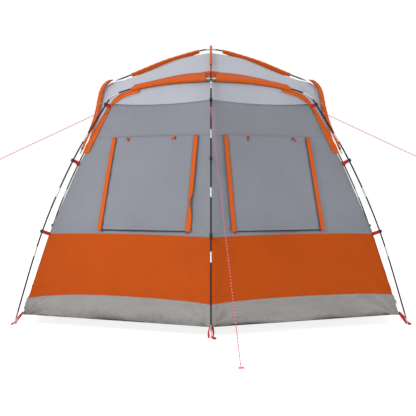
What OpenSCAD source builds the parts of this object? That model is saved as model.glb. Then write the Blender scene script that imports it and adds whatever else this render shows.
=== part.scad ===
// Six-sided camping tent: clipped pole frame, tub floor, walls with two roll-up windows,
// a four-cornered roof between four arches, a side door and three guy lines.
// The tent's axis is Z, the ground is z = 0 and the near corner points along -Y.

/* [Plan] */
// Distance from the tent's axis to the foot of a corner pole
foot_r = 1640; // [1600:5:1680]
// Sideways reach of the two wide rear corners, as a share of foot_r
rear_reach = 0.95; // [0.87:0.01:1]

/* [Levels] */
// Height of the hem, where the tub side curls under
hem_z = 65; // [55:1:80]
// Height of the seam between tub side and coloured band
tub_z = 208; // [190:1:230]
// Height of the seam between coloured band and upper wall
band_z = 648; // [620:1:660]
// Height where the walls lean in more, at the middle clips
knee_z = 1165; // [1150:1:1175]
// Height of the top edge of the walls, at the shoulder clips
wall_z = 1619; // [1610:1:1630]

/* [Wall lean] */
// Fabric radius at the hem
hem_r = 1575; // [1560:1:1580]
// Fabric radius at the top of the coloured band
band_r = 1371; // [1360:1:1376]
// Fabric radius at the knee
knee_r = 1129; // [1120:1:1134]
// Fabric radius at the top of the walls
wall_r = 855; // [845:1:860]

/* [Poles] */
// Diameter of the fibreglass sections
pole_d = 11; // [9:0.5:12]
// Length of a silver ferrule between two sections
ferrule_l = 75; // [50:1:90]
// Distance between ferrule middles along a pole
ferrule_pitch = 465; // [450:1:480]
// Distance from a foot to its first ferrule's middle
first_ferrule = 545; // [520:1:570]
// Length of the silver end piece at each foot
tip_l = 90; // [70:1:110]
// Outer diameter of a sewn pole sleeve
sleeve_d = 26; // [24:1:26]

/* [Fabric] */
// Thickness that every sewn panel is drawn with
cloth_t = 4; // [3:0.5:4]
// Width of the red webbing tabs
webbing_w = 25; // [20:1:30]

/* [Windows] */
// Height of the bottom edge of a window cover
sill_z = 690; // [685:1:700]
// Height of the seam above a window cover
lintel_z = 1361; // [1355:1:1365]
// Distance from the near corner to the window, at the bottom edge
window_in_low = 158; // [150:1:170]
// Distance from the near corner to the window, at the top seam
window_in_high = 98; // [95:1:110]
// Distance from the near corner to the window's far side, at the bottom edge
window_out_low = 930; // [900:1:935]
// Distance from the near corner to the window's far side, at the top seam
window_out_high = 833; // [810:1:840]
// Width of the strips beside a window cover
strip_w = 32; // [25:1:32]

/* [Door] */
// Half of the door's share of its wall's width
door_half = 0.26; // [0.2:0.01:0.27]
// Height of the top of the doorway
door_z = 1500; // [1480:1:1510]

/* [Guy lines] */
// Diameter of a guy line
guy_d = 4.5; // [4:0.1:5]

/* [Hidden] */

GREY = [0.56, 0.58, 0.61];
LIGHT = [0.74, 0.76, 0.79];
SILVER = [0.78, 0.79, 0.82];
ORANGE = [0.80, 0.37, 0.14];
TUB = [0.60, 0.59, 0.58];
BLACK = [0.13, 0.14, 0.16];
STEEL = [0.85, 0.86, 0.87];
RED = [0.80, 0.02, 0.08];

// Plan directions of the corners, anticlockwise from the near one
CORNER = [[0, -1], [0.866, -0.5], [rear_reach, 0.5], [0, 1], [-rear_reach, 0.5], [-0.866, -0.5]];
FRONT_RIGHT = 0;
RIGHT = 1;
REAR_RIGHT = 2;
REAR_LEFT = 3;
LEFT = 4;
FRONT_LEFT = 5;

pole_r = pole_d / 2;
sleeve_r = sleeve_d / 2;
floor_t = 3;
floor_r = 1000;
seam = 0.0002;
inside = [0, 0, 1100];

// Fabric radius by height
LEAN = [[hem_z, hem_r], [band_z, band_r], [knee_z, knee_r], [wall_z, wall_r]];

// ---- Vectors ----
function unit(v) = v / norm(v);
function mix(a, b, t) = a + (b - a) * t;
function flip(p) = [-p[0], p[1], p[2]];
function back(p) = [p[0], -p[1], p[2]];
// Spreads a point of the regular plan to the wide rear corners
function widen(p) = [p[0] * (1 + (rear_reach / 0.866 - 1) * min(1, p[1] / 430)), p[1], p[2]];
function flat(p) = [p[0], p[1]];
// Moves a point towards the middle of the cabin
function inward(p, d) = p + d * unit(inside - p);

// ---- Splines and lengths along them ----
function knot(P, i) = P[max(0, min(len(P) - 1, i))];
function bend(a, b, c, d, t) =
    0.5 * (2 * b + (c - a) * t + (2 * a - 5 * b + 4 * c - d) * t * t + (3 * b - a - 3 * c + d) * t * t * t);
function along(P, x) =
    let (i = min(len(P) - 2, floor(x)))
    bend(knot(P, i - 1), P[i], P[i + 1], knot(P, i + 2), x - i);
// Point at a share t of the way through a list of knots
function at(P, t) = along(P, t * (len(P) - 1));
function smooth(P, n) = [for (k = [0 : n * (len(P) - 1)]) along(P, k / n)];
function ahead(Q, s, i = 0) =
    let (step = norm(Q[i + 1] - Q[i]))
    s <= step || i == len(Q) - 2 ? mix(Q[i], Q[i + 1], s / step) : ahead(Q, s - step, i + 1);
function length(Q, i = 0) = i == len(Q) - 1 ? 0 : norm(Q[i + 1] - Q[i]) + length(Q, i + 1);
function heading(Q, s) = unit(ahead(Q, s + 8) - ahead(Q, max(0, s - 8)));

// ---- Tubes swept along a path ----
function hoop(c, dir, ref, r, n) =
    let (a = unit(cross(dir, ref)), b = cross(a, dir))
    [for (k = [0 : n - 1]) c + r * (cos(k * 360 / n) * a + sin(k * 360 / n) * b)];
function skin(first, n, rings, out) = [for (i = [0 : rings - 2], k = [0 : n - 1])
    let (a = first + i * n + k, b = first + i * n + (k + 1) % n)
    each out ? [[a, b, b + n], [a, b + n, a + n]] : [[a, b + n, b], [a, a + n, b + n]]];
function stations(s0, s1, step) =
    let (m = max(1, ceil((s1 - s0) / step)))
    [for (i = [0 : m]) s0 + (s1 - s0) * i / m];

module rod(Q, s0, s1, r, ref, step = 95, n = 10) {
    S = stations(s0, s1, step);
    last = (len(S) - 1) * n;
    polyhedron([for (s = S) each hoop(ahead(Q, s), heading(Q, s), ref, r, n)],
        concat([[for (k = [n - 1 : -1 : 0]) k]], skin(0, n, len(S), true),
            [[for (k = [0 : n - 1]) last + k]]));
}

module pipe(Q, s0, s1, r_out, r_in, ref, step = 95, n = 10) {
    S = stations(s0, s1, step);
    m = len(S);
    inner = m * n;
    end = (m - 1) * n;
    function ends(k) = (k + 1) % n;
    polyhedron(concat(
        [for (s = S) each hoop(ahead(Q, s), heading(Q, s), ref, r_out, n)],
        [for (s = S) each hoop(ahead(Q, s), heading(Q, s), ref, r_in, n)]),
        concat(skin(0, n, m, true), skin(inner, n, m, false),
            [for (k = [0 : n - 1]) each [[k, inner + ends(k), ends(k)], [k, inner + k, inner + ends(k)]]],
            [for (k = [0 : n - 1]) each [[end + k, end + ends(k), end + inner + ends(k)],
                [end + k, end + inner + ends(k), end + inner + k]]]));
}

// ---- Walls ----
function wall_to(w) = (w + 1) % 6;
function wall_dir(w) = unit(CORNER[wall_to(w)] - CORNER[w]);
function wall_out(w) = [wall_dir(w)[1], -wall_dir(w)[0]];
function corner_out(i) =
    2 / (wall_out(i) * CORNER[i] + wall_out((i + 5) % 6) * CORNER[i]) * CORNER[i];
function out_dir(w, u) = u < 0.01 ? corner_out(w) : u > 0.99 ? corner_out(wall_to(w)) : wall_out(w);
// Point on wall w at share u of its width, height z and distance o outside its outer face
function on_wall(w, u, z, o = 0) =
    let (p = lookup(z, LEAN) * mix(CORNER[w], CORNER[wall_to(w)], u) + o * out_dir(w, u))
    [p[0], p[1], z];
function wall_width(w, z) = lookup(z, LEAN) * norm(CORNER[wall_to(w)] - CORNER[w]);

BOX = [[0, 3, 2], [0, 2, 1], [4, 5, 6], [4, 6, 7], [0, 1, 5], [0, 5, 4],
    [3, 7, 6], [3, 6, 2], [0, 4, 7], [0, 7, 3], [1, 2, 6], [1, 6, 5]];

// One flat stretch of wall cloth: low and high are [z, u from, u to]
module cell(w, low, high, out = 0, in = -cloth_t) {
    polyhedron([for (o = [out, in]) each [on_wall(w, low[1], low[0], o), on_wall(w, low[2], low[0], o),
        on_wall(w, high[2], high[0], o), on_wall(w, high[1], high[0], o)]], BOX);
}

// A stack of cells through a list of [z, u from, u to] levels
module cells(w, levels, out = 0, in = -cloth_t) {
    for (i = [0 : len(levels) - 2]) cell(w, levels[i], levels[i + 1], out, in);
}

// Frame with X along the wall, Y up its slope and Z out of it
module stand_on_wall(w, u, z, o) {
    x = concat(wall_dir(w), 0);
    up = on_wall(w, 0.5, z + 5) - on_wall(w, 0.5, z - 5);
    y = unit(up - (up * x) * x);
    n = cross(x, y);
    p = on_wall(w, u, z, o);
    multmatrix([[x[0], y[0], n[0], p[0]], [x[1], y[1], n[1], p[1]], [x[2], y[2], n[2], p[2]], [0, 0, 0, 1]])
        children();
}

// ---- Pole routes ----
// Radius and height of a corner pole at its foot, clips and shoulder
foot_z = 3;
CLIMB = [[foot_r, foot_z], [1425, 667], [1181, 1189], [925, 1593], [899, 1632]];
SHOULDER = [881, 1658];
function up_corner(i, rz) = [CORNER[i][0] * rz[0], CORNER[i][1] * rz[0], rz[1]];
function turned(P) = [for (i = [len(P) - 1 : -1 : 0]) P[i]];
function whole(half, top) = concat(half, [top], turned([for (p = half) flip(p)]));

front_top = [0, -738, 1780];
FRONT_BOW = [[-578, -585, 1722], [-300, -690, 1765]];
front_half = concat([for (c = CLIMB) up_corner(5, c)],
    [up_corner(5, SHOULDER), [-715, -482, 1688]], FRONT_BOW);
FRONT_HOOP = smooth(whole(front_half, front_top), 6);

rear_half = concat([for (c = CLIMB) up_corner(4, c)],
    [for (i = [len(CLIMB) : len(front_half) - 1]) widen(back(front_half[i]))]);
REAR_HOOP = smooth(whole(rear_half, back(front_top)), 6);

ridge_half = concat([for (c = CLIMB) up_corner(0, c)], [[0, -742, 1798], [0, -492, 1935], [0, -246, 2050]]);
RIDGE = smooth(concat(ridge_half, [[0, 0, 2104]], turned([for (p = ridge_half) back(p)])), 6);

crown_half = [[-755, 0, 1837], [-630, 0, 1883], [-365, 0, 1991], [-95, 0, 2071]];
CROWN = smooth(whole(crown_half, [0, 0, 2082]), 6);

// Brow pole on the right, from the front corner over the door to the rear corner
brow_front = [[972, -561, 1240], [888, -360, 1515], [855, -160, 1755]];
brow_top = [802, 0, 1835];
brow_rear = [for (p = turned(brow_front)) widen(back(p))];
BROW = concat(brow_front, [brow_top], brow_rear);
BROW_RIGHT = smooth(BROW, 6);
BROW_LEFT = smooth([for (p = BROW) flip(p)], 6);

ridge_l = length(RIDGE);
front_l = length(FRONT_HOOP);
rear_l = length(REAR_HOOP);
crown_l = length(CROWN);
brow_l = length(BROW_RIGHT);

// Silver pieces along a pole, as [from, to] lengths from its first end
function ferrule_at(s) = [s - ferrule_l / 2, s + ferrule_l / 2];
function both_ends(list, l) =
    concat(list, [ferrule_at(l / 2)], turned([for (m = list) [l - m[1], l - m[0]]]));
FERRULES_UP = [for (i = [0 : 2]) ferrule_at(first_ferrule + i * ferrule_pitch)];
ELBOW = [1840, 1955];
REAR_ELBOW = [1865, 1980];
RIDGE_MARKS = both_ends(concat([[0, tip_l]], FERRULES_UP,
    [ferrule_at(first_ferrule + 3 * ferrule_pitch), ferrule_at(first_ferrule + 4 * ferrule_pitch)]), ridge_l);
function hoop_bits(elbow) = concat([[0, tip_l]], FERRULES_UP, [elbow, ferrule_at(2320)]);
FRONT_MARKS = both_ends(hoop_bits(ELBOW), front_l);
REAR_MARKS = both_ends(hoop_bits(REAR_ELBOW), rear_l);
CROWN_MARKS = both_ends([[0, 45], ferrule_at(400)], crown_l);
BROW_MARKS = both_ends([[0, 60], ferrule_at(430)], brow_l);

// Directions that no pole of a set ever points along
ACROSS = [0, 1, 0];
SIDEWAYS = [1, 0, 0];

module sections(Q, marks, ref, step = 95) {
    color(BLACK) for (i = [0 : len(marks) - 2]) rod(Q, marks[i][1], marks[i + 1][0], pole_r, ref, step);
}
module bits(Q, marks, ref, pick) {
    for (i = pick) rod(Q, marks[i][0], marks[i][1], pole_r, ref, 30);
}

// ---- Corner hardware ----
// Lengths from a foot to its clips, on regular and on wide corners
CLIP_S = [698, 1274, 1776];
WIDE_CLIP_S = [703, 1287, 1800];
TAB_Z = [band_z, knee_z, 1600];
function corner_path(i) = i % 3 == 0 ? RIDGE : (i == 1 || i == 5) ? FRONT_HOOP : REAR_HOOP;
function corner_s(i, s) = i == 3 ? ridge_l - s : i == 1 ? front_l - s : i == 2 ? rear_l - s : s;
function clip_s(i) = i == 2 || i == 4 ? WIDE_CLIP_S : CLIP_S;
function corner_angle(i) = atan2(CORNER[i][1], CORNER[i][0]);
function corner_point(i, s) = ahead(corner_path(i), corner_s(i, s));
// Radius and height of a fabric corner edge, measured in the corner's own vertical plane
function edge_rz(i, z) = [lookup(z, LEAN) * norm(CORNER[i]), z];

module in_corner_plane(i, thick) {
    rotate([90, 0, corner_angle(i)]) linear_extrude(thick, center = true) children();
}
function strap(a, b, w) =
    let (d = unit(b - a), s = w / 2 * [-d[1], d[0]])
    [a - s, b - s, b + s, a + s];

module clip(i, s) {
    p = corner_point(i, s);
    t = unit(corner_point(i, s + 8) - corner_point(i, s - 8));
    side = unit(cross([p[0], p[1], 0], [0, 0, 1]));
    x = unit(cross(side, t));
    y = cross(t, x);
    multmatrix([[x[0], y[0], t[0], p[0]], [x[1], y[1], t[1], p[1]], [x[2], y[2], t[2], p[2]], [0, 0, 0, 1]])
        difference() {
            union() {
                cylinder(h = 24, r = 10.5, center = true, $fn = 32);
                translate([-8, 0, 0]) cube([14, 8, 20], center = true);
            }
            cylinder(h = 40, r = pole_r + 1.8, center = true, $fn = 32);
        }
}

// ---- Window places ----
cover_gap = 3;
cover_top = 1318;
hole_edge = 46;
slider_in = strip_w / 2;
function window_s(z, low, high) = mix(low, high, (z - sill_z) / (lintel_z - sill_z));
function window_u(w, s, z) = w == FRONT_RIGHT ? s / wall_width(w, z) : 1 - s / wall_width(w, z);
// Level of a band between two distances inside the window's edges
function level(w, z, a, b) =
    let (p = window_u(w, window_s(z, window_in_low, window_in_high) + a, z),
        q = window_u(w, window_s(z, window_out_low, window_out_high) - b, z))
    [z, min(p, q), max(p, q)];
function inner_band(w, z, a, b) =
    let (e = window_s(z, window_in_low, window_in_high),
        p = window_u(w, e + a, z), q = window_u(w, e + b, z))
    [z, min(p, q), max(p, q)];
function outer_band(w, z, a, b) =
    let (e = window_s(z, window_out_low, window_out_high),
        p = window_u(w, e - a, z), q = window_u(w, e - b, z))
    [z, min(p, q), max(p, q)];
hole_low = sill_z + 30;
hole_high = 1290;

// ================= Sub-parts =================
module groundsheet() {
    color(TUB) linear_extrude(floor_t) polygon([for (c = CORNER) floor_r * c]);
}

// The floor lies flat in the middle and rises to the hem, where the side strips start
module floor_edge(w) {
    lift = hem_z - floor_t - 1;
    function rim(r, u, z) = concat(r * mix(CORNER[w], CORNER[wall_to(w)], u), z);
    polyhedron([for (t = [0, floor_t]) each [rim(hem_r - 1, seam, lift + t), rim(hem_r - 1, 1 - seam, lift + t),
        rim(floor_r + 0.5, 1 - seam, t), rim(floor_r + 0.5, seam, t)]], [for (f = BOX) [f[0], f[2], f[1]]]);
}

module tub_sides() {
    color(TUB) for (w = [0 : 5]) {
        floor_edge(w);
        cells(w, [for (z = [hem_z, tub_z]) [z, seam, 1 - seam]]);
    }
}

door_from = 0.5 - door_half;
door_to = 0.5 + door_half;

module orange_band(w) {
    color(ORANGE) if (w == RIGHT) {
        cells(w, [[tub_z, 0, door_from], [band_z, 0, door_from]]);
        cells(w, [[tub_z, door_to, 1], [band_z, door_to, 1]]);
    } else cells(w, [[tub_z, 0, 1], [band_z, 0, 1]]);
}

module plain_wall(w) {
    color(GREY) cells(w, [for (z = [band_z, knee_z, wall_z]) [z, 0, 1]]);
}

module window_wall(w) {
    function hole(z) = level(w, z, hole_edge, hole_edge);
    color(GREY) union() {
        cells(w, [[band_z, 0, 1], [hole_low, 0, 1]]);
        cells(w, [for (z = [hole_low, knee_z, hole_high]) [z, 0, hole(z)[1]]]);
        cells(w, [for (z = [hole_low, knee_z, hole_high]) [z, hole(z)[2], 1]]);
        cells(w, [[hole_high, 0, 1], [wall_z, 0, 1]]);
    }
}

module door_wall() {
    color(GREY) union() {
        cells(RIGHT, [for (z = [band_z, knee_z, door_z]) [z, 0, door_from]]);
        cells(RIGHT, [for (z = [band_z, knee_z, door_z]) [z, door_to, 1]]);
        cells(RIGHT, [[door_z, 0, 1], [wall_z, 0, 1]]);
    }
}

// Closed sheet through a grid of points, thickened towards the cabin
module grid_sheet(G, t = cloth_t) {
    m = len(G);
    n = len(G[0]);
    c = m * n;
    outer = [for (row = G) each row];
    rim = concat([for (j = [0 : n - 2]) [j, j + 1]], [for (i = [0 : m - 2]) [i * n + n - 1, (i + 1) * n + n - 1]],
        [for (j = [n - 2 : -1 : 0]) [(m - 1) * n + j + 1, (m - 1) * n + j]],
        [for (i = [m - 2 : -1 : 0]) [(i + 1) * n, i * n]]);
    polyhedron(concat(outer, [for (p = outer) inward(p, t)]),
        concat([for (i = [0 : m - 2], j = [0 : n - 2]) let (a = i * n + j)
                each [[a, a + n + 1, a + n], [a, a + 1, a + n + 1],
                    [c + a, c + a + n, c + a + n + 1], [c + a, c + a + n + 1, c + a + 1]]],
            [for (e = rim) each [[e[0], c + e[1], e[1]], [e[0], c + e[0], c + e[1]]]]));
}

// The roof's front edge on the right: top of the arch, shoulder, then down the corner
edge_in = 22;
tip_point = inward(brow_front[0], edge_in);
roof_edge = [inward(front_top, edge_in), inward(flip(FRONT_BOW[1]), edge_in),
    inward(flip(FRONT_BOW[0]), edge_in),
    up_corner(1, [wall_r + 14, wall_z]), tip_point];
roof_crown = [[0, 0, 2056], [250, 0, 2011], [470, 0, 1924], [650, 0, 1852], inward(brow_top, edge_in)];
roof_ridge = [inward(front_top, edge_in), [0, -480, 1902], [0, -240, 2018], [0, 0, 2056]];
roof_brow = concat([for (p = brow_front) inward(p, edge_in)], [inward(brow_top, edge_in)]);
// Point of the roof at share s from ridge to brow and share t from arch to crown
function roof(s, t) =
    mix(at(roof_edge, s), at(roof_crown, s), t) + mix(at(roof_ridge, t), at(roof_brow, t), s)
    - mix(mix(roof_edge[0], roof_edge[4], s), mix(roof_crown[0], roof_crown[4], s), t);
function placed(p, right, front) =
    let (q = front ? p : widen(back(p)))
    right ? q : flip(q);

module roof_panel(right, front) {
    n = 8;
    turn = right == front;
    color(SILVER) grid_sheet([for (i = [0 : n]) [for (j = [0 : n])
        placed(roof((turn ? i : n - i) / n, j / n), right, front)]]);
}

gable_top = [inward(front_top, 34), inward(flip(FRONT_BOW[1]), 34), inward(flip(FRONT_BOW[0]), 34),
    [682, -476, 1643]];
module corner_gable(right, front) {
    n = 8;
    turn = right == front;
    near = on_wall(FRONT_RIGHT, 0, wall_z) + [0, 0, gable_gap];
    far = on_wall(FRONT_RIGHT, 682 / (0.866 * wall_r), wall_z) + [0, 0, gable_gap];
    color(LIGHT) grid_sheet([for (k = [0 : n]) let (i = (turn ? k : n - k) / n)
        [for (v = [0, 1]) placed(mix(mix(near, far, i), at(gable_top, i), v), right, front)]]);
}

gable_rise = 118;
gable_gap = 3;
module side_gable(right) {
    n = 10;
    color(LIGHT) grid_sheet([for (k = [0 : n]) let (u = mix(0.1, 0.9, (right ? k : n - k) / n),
            p = on_wall(RIGHT, u, wall_z) + [0, 0, gable_gap],
            h = 3 + gable_rise * (1 - pow(abs(2 * u - 1), 1.15)))
        [for (v = [0, 1]) let (q = p + [0, 0, v * h]) right ? q : flip(q)]]);
}

// Sleeves
module sleeve(Q, s0, s1, ref) {
    color(ORANGE) pipe(Q, s0, s1, sleeve_r, pole_r + 4.5, ref, 50);
}
arch_out = 2080;
module arch_sleeve(Q, l) {
    sleeve(Q, arch_out, l / 2 - 35, ACROSS);
    sleeve(Q, l / 2 + 35, l - arch_out, ACROSS);
}
module crown_sleeve() {
    for (s = [[135, crown_l / 2 - 95], [crown_l / 2 + 95, crown_l - 135]])
        sleeve(CROWN, s[0], s[1], ACROSS);
}
module ridge_sleeve() {
    sleeve(RIDGE, ridge_l / 2 - 600, ridge_l / 2 + 600, SIDEWAYS);
}
module brow_sleeve(Q) {
    sleeve(Q, 90, brow_l - 90, SIDEWAYS);
}

// Silver pieces of all poles
module pole_ferrules() {
    color(STEEL) {
        bits(RIDGE, RIDGE_MARKS, SIDEWAYS, [1 : len(RIDGE_MARKS) - 2]);
        bits(FRONT_HOOP, FRONT_MARKS, ACROSS, [1, 2, 3, 5, 6, 7, 9, 10, 11]);
        bits(REAR_HOOP, REAR_MARKS, ACROSS, [1, 2, 3, 5, 6, 7, 9, 10, 11]);
        bits(CROWN, CROWN_MARKS, ACROSS, [1, 2, 3]);
        bits(BROW_RIGHT, BROW_MARKS, SIDEWAYS, [1, 2, 3]);
        bits(BROW_LEFT, BROW_MARKS, SIDEWAYS, [1, 2, 3]);
    }
}
module shoulder_elbows() {
    color(STEEL) {
        bits(FRONT_HOOP, FRONT_MARKS, ACROSS, [4, 8]);
        bits(REAR_HOOP, REAR_MARKS, ACROSS, [4, 8]);
    }
}
module pole_tips() {
    color(STEEL) {
        bits(RIDGE, RIDGE_MARKS, SIDEWAYS, [0, 12]);
        bits(FRONT_HOOP, FRONT_MARKS, ACROSS, [0, 12]);
        bits(REAR_HOOP, REAR_MARKS, ACROSS, [0, 12]);
        bits(CROWN, CROWN_MARKS, ACROSS, [0, 4]);
        bits(BROW_RIGHT, BROW_MARKS, SIDEWAYS, [0, 4]);
        bits(BROW_LEFT, BROW_MARKS, SIDEWAYS, [0, 4]);
    }
}

module pole_clips() {
    color(BLACK) for (i = [0 : 5], s = clip_s(i)) clip(i, s);
}
module clip_tabs() {
    color(RED) for (i = [0 : 5], k = [0 : 2]) {
        p = corner_point(i, clip_s(i)[k]);
        pole = [norm(flat(p)), p[2]];
        cloth = edge_rz(i, TAB_Z[k]);
        d = unit(pole - cloth);
        in_corner_plane(i, 2) polygon(strap(cloth + (k == 2 ? 17 : 8) * d, pole - 16 * d, webbing_w));
    }
}
module corner_straps() {
    color(RED) for (i = [0 : 5]) {
        hem = edge_rz(i, hem_z);
        ring = [norm(flat(corner_point(i, 10))) - 19, 15];
        d = unit(ring - hem);
        in_corner_plane(i, 3) polygon(strap(hem + 16 * d, ring, webbing_w - 5));
    }
}
module corner_rings() {
    color(STEEL) for (i = [0 : 5]) {
        p = corner_point(i, 8);
        translate([p[0], p[1], 6]) rotate_extrude($fn = 40) translate([14, 0]) circle(r = 2, $fn = 16);
    }
}
module peg_loops() {
    color(RED) for (i = [0 : 5]) {
        r = norm(flat(corner_point(i, 0))) + 18;
        in_corner_plane(i, 22) polygon([[r, 24], [r + 14, 2], [r + 18, 2], [r + 42, 34], [r + 38, 36],
            [r + 17, 8], [r + 4, 27]]);
    }
}

// Windows
module window_cover(w) {
    color(GREY) cells(w, [for (z = [sill_z, knee_z, cover_top]) level(w, z, strip_w + 4, strip_w + 4)],
        cover_gap + cloth_t, cover_gap);
}
module window_mesh(w) {
    color(BLACK)
        cells(w, [for (z = [hole_low, knee_z, hole_high]) level(w, z, hole_edge, hole_edge)], -1, -3);
}
module window_strips(w) {
    color(ORANGE) {
        cells(w, [for (z = [sill_z - 4, knee_z, lintel_z]) inner_band(w, z, 0, strip_w)], 14, 11);
        cells(w, [for (z = [sill_z - 4, knee_z, lintel_z]) outer_band(w, z, 0, strip_w)], 14, 11);
    }
}
module slider_body() {
    color(STEEL) {
        translate([-5, 2, 0]) cube([10, 14, 7]);
        translate([-3.5, -16, 2]) cube([7, 18, 3]);
    }
}
module zip_slider(w, inner) {
    z = sill_z + 4;
    u = inner ? inner_band(w, z, slider_in, slider_in)[1] : outer_band(w, z, slider_in, slider_in)[1];
    stand_on_wall(w, u, z, 1.5) slider_body();
}
module window_toggles() {
    for (w = [FRONT_RIGHT, FRONT_LEFT], t = [0.27, 0.8]) {
        e = level(w, lintel_z, 0, 0);
        u = w == FRONT_RIGHT ? mix(e[1], e[2], t) : mix(e[2], e[1], t);
        stand_on_wall(w, u, lintel_z - 14, 1) {
            color(ORANGE) translate([-9, -16, 0]) cube([18, 30, 3]);
            color(BLACK) translate([-20, -8, 7]) rotate([0, 90, 0]) cylinder(h = 40, r = 4, $fn = 24);
        }
    }
}

// Door
module door_panel() {
    heights = [tub_z + 8, band_z, knee_z, door_z - 10];
    color(GREY) cells(RIGHT, [for (z = heights) [z, door_from - 0.012, door_to + 0.012]],
        cover_gap + cloth_t, cover_gap);
}
module door_slider() {
    stand_on_wall(RIGHT, door_from - 0.025, tub_z + 24, 1.5) slider_body();
}

// Guy lines: each route starts beside its pole, runs taut and ends in a sewn loop
FRONT_ROUTE = [[-2, -963, 1556], [39, -1440, 1168], [80, -1916, 780], [121, -2392, 392], [162, -2868, 5]];
RIGHT_ROUTE = [[838, -484, 1550], [1038, -486, 1456], [1239, -488, 1362], [1440, -490, 1268],
    [1640, -493, 1174]];
guy_loop_r = 16;
module guy_line(P, n) {
    Q = smooth(P, n);
    l = length(Q);
    tail = Q[len(Q) - 1];
    loop = flat(tail) + (guy_loop_r + guy_d + 2) * unit(flat(heading(Q, l - 10)));
    color(RED) {
        rod(Q, 0, l, guy_d / 2, ACROSS, l / n / (len(P) - 1), 8);
        translate([loop[0], loop[1], tail[2]])
            rotate_extrude($fn = 40) translate([guy_loop_r, 0]) circle(d = guy_d, $fn = 16);
    }
}

groundsheet();
tub_sides();
orange_band(FRONT_RIGHT);  // orange_band_front_right
orange_band(RIGHT);  // orange_band_right
orange_band(REAR_RIGHT);  // orange_band_rear_right
orange_band(REAR_LEFT);  // orange_band_rear_left
orange_band(LEFT);  // orange_band_left
orange_band(FRONT_LEFT);  // orange_band_front_left
window_wall(FRONT_RIGHT);  // wall_panel_front_right
door_wall();  // wall_panel_right
plain_wall(REAR_RIGHT);  // wall_panel_rear_right
plain_wall(REAR_LEFT);  // wall_panel_rear_left
plain_wall(LEFT);  // wall_panel_left
window_wall(FRONT_LEFT);  // wall_panel_front_left
corner_gable(true, true);  // gable_front_right
corner_gable(false, true);  // gable_front_left
corner_gable(true, false);  // gable_rear_right
corner_gable(false, false);  // gable_rear_left
side_gable(true);  // gable_right
side_gable(false);  // gable_left
roof_panel(true, true);  // roof_panel_front_right
roof_panel(false, true);  // roof_panel_front_left
roof_panel(true, false);  // roof_panel_rear_right
roof_panel(false, false);  // roof_panel_rear_left
arch_sleeve(FRONT_HOOP, front_l);  // front_arch_sleeve
arch_sleeve(REAR_HOOP, rear_l);  // rear_arch_sleeve
crown_sleeve();
ridge_sleeve();
brow_sleeve(BROW_RIGHT);  // brow_sleeve_right
brow_sleeve(BROW_LEFT);  // brow_sleeve_left
sections(RIDGE, RIDGE_MARKS, SIDEWAYS);  // ridge_pole
sections(FRONT_HOOP, FRONT_MARKS, ACROSS);  // front_hoop_pole
sections(REAR_HOOP, REAR_MARKS, ACROSS);  // rear_hoop_pole
sections(CROWN, CROWN_MARKS, ACROSS);  // crown_pole
sections(BROW_RIGHT, BROW_MARKS, SIDEWAYS, 48);  // brow_pole_right
sections(BROW_LEFT, BROW_MARKS, SIDEWAYS, 48);  // brow_pole_left
pole_ferrules();
shoulder_elbows();
pole_tips();
pole_clips();
clip_tabs();
corner_straps();
corner_rings();
peg_loops();
window_cover(FRONT_RIGHT);  // window_cover_right
window_cover(FRONT_LEFT);  // window_cover_left
window_mesh(FRONT_RIGHT);  // window_mesh_right
window_mesh(FRONT_LEFT);  // window_mesh_left
window_strips(FRONT_RIGHT);  // window_strips_right
window_strips(FRONT_LEFT);  // window_strips_left
zip_slider(FRONT_RIGHT, true);  // zip_slider_right_inner
zip_slider(FRONT_RIGHT, false);  // zip_slider_right_outer
zip_slider(FRONT_LEFT, true);  // zip_slider_left_inner
zip_slider(FRONT_LEFT, false);  // zip_slider_left_outer
window_toggles();
door_panel();
door_slider();
guy_line(FRONT_ROUTE, 9);  // guy_line_front
guy_line(RIGHT_ROUTE, 5);  // guy_line_right
guy_line([for (p = RIGHT_ROUTE) flip(p)], 5);  // guy_line_left
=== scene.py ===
from math import atan2, cos, exp, pi, radians, sin

import bpy
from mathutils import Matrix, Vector, noise


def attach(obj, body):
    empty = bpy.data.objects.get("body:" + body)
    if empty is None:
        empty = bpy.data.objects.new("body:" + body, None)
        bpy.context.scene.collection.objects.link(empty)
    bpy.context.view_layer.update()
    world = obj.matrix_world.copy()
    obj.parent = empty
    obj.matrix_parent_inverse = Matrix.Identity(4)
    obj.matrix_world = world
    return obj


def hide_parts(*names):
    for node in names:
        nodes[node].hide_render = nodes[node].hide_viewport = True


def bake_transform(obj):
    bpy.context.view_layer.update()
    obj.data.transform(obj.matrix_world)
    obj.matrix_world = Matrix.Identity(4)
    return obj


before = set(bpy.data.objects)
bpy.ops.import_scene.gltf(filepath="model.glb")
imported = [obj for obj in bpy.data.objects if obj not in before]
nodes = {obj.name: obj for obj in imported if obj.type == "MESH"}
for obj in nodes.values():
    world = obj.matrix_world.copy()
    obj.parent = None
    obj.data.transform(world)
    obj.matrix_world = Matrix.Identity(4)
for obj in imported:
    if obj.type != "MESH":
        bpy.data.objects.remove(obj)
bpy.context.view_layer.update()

# ---------------------------------------------------------------- camera
lens = bpy.data.cameras.new("camera")
lens.sensor_width = 36
lens.lens = 98.4
lens.clip_end = 200
camera = bpy.data.objects.new("camera", lens)
camera.location = (0, -9.02, 0.955)
camera.rotation_euler = (radians(90 - 0.806), 0, radians(0.15))
bpy.context.scene.collection.objects.link(camera)
bpy.context.scene.camera = camera
bpy.context.scene.view_settings.view_transform = "Standard"


# ---------------------------------------------------------------- small mathematics
def V(x, y, z):
    return Vector((x, y, z))


def mix(a, b, t):
    return a + (b - a) * t


def clamp(x):
    return max(0.0, min(1.0, x))


def ease(x):
    x = clamp(x)
    return x * x * (3 - 2 * x)


def bisect(steps, below):
    """Share between 0 and 1 up to which below(t) holds."""
    low, high = 0.0, 1.0
    for _ in range(steps):
        t = (low + high) / 2
        if below(t):
            low = t
        else:
            high = t
    return (low + high) / 2


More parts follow.
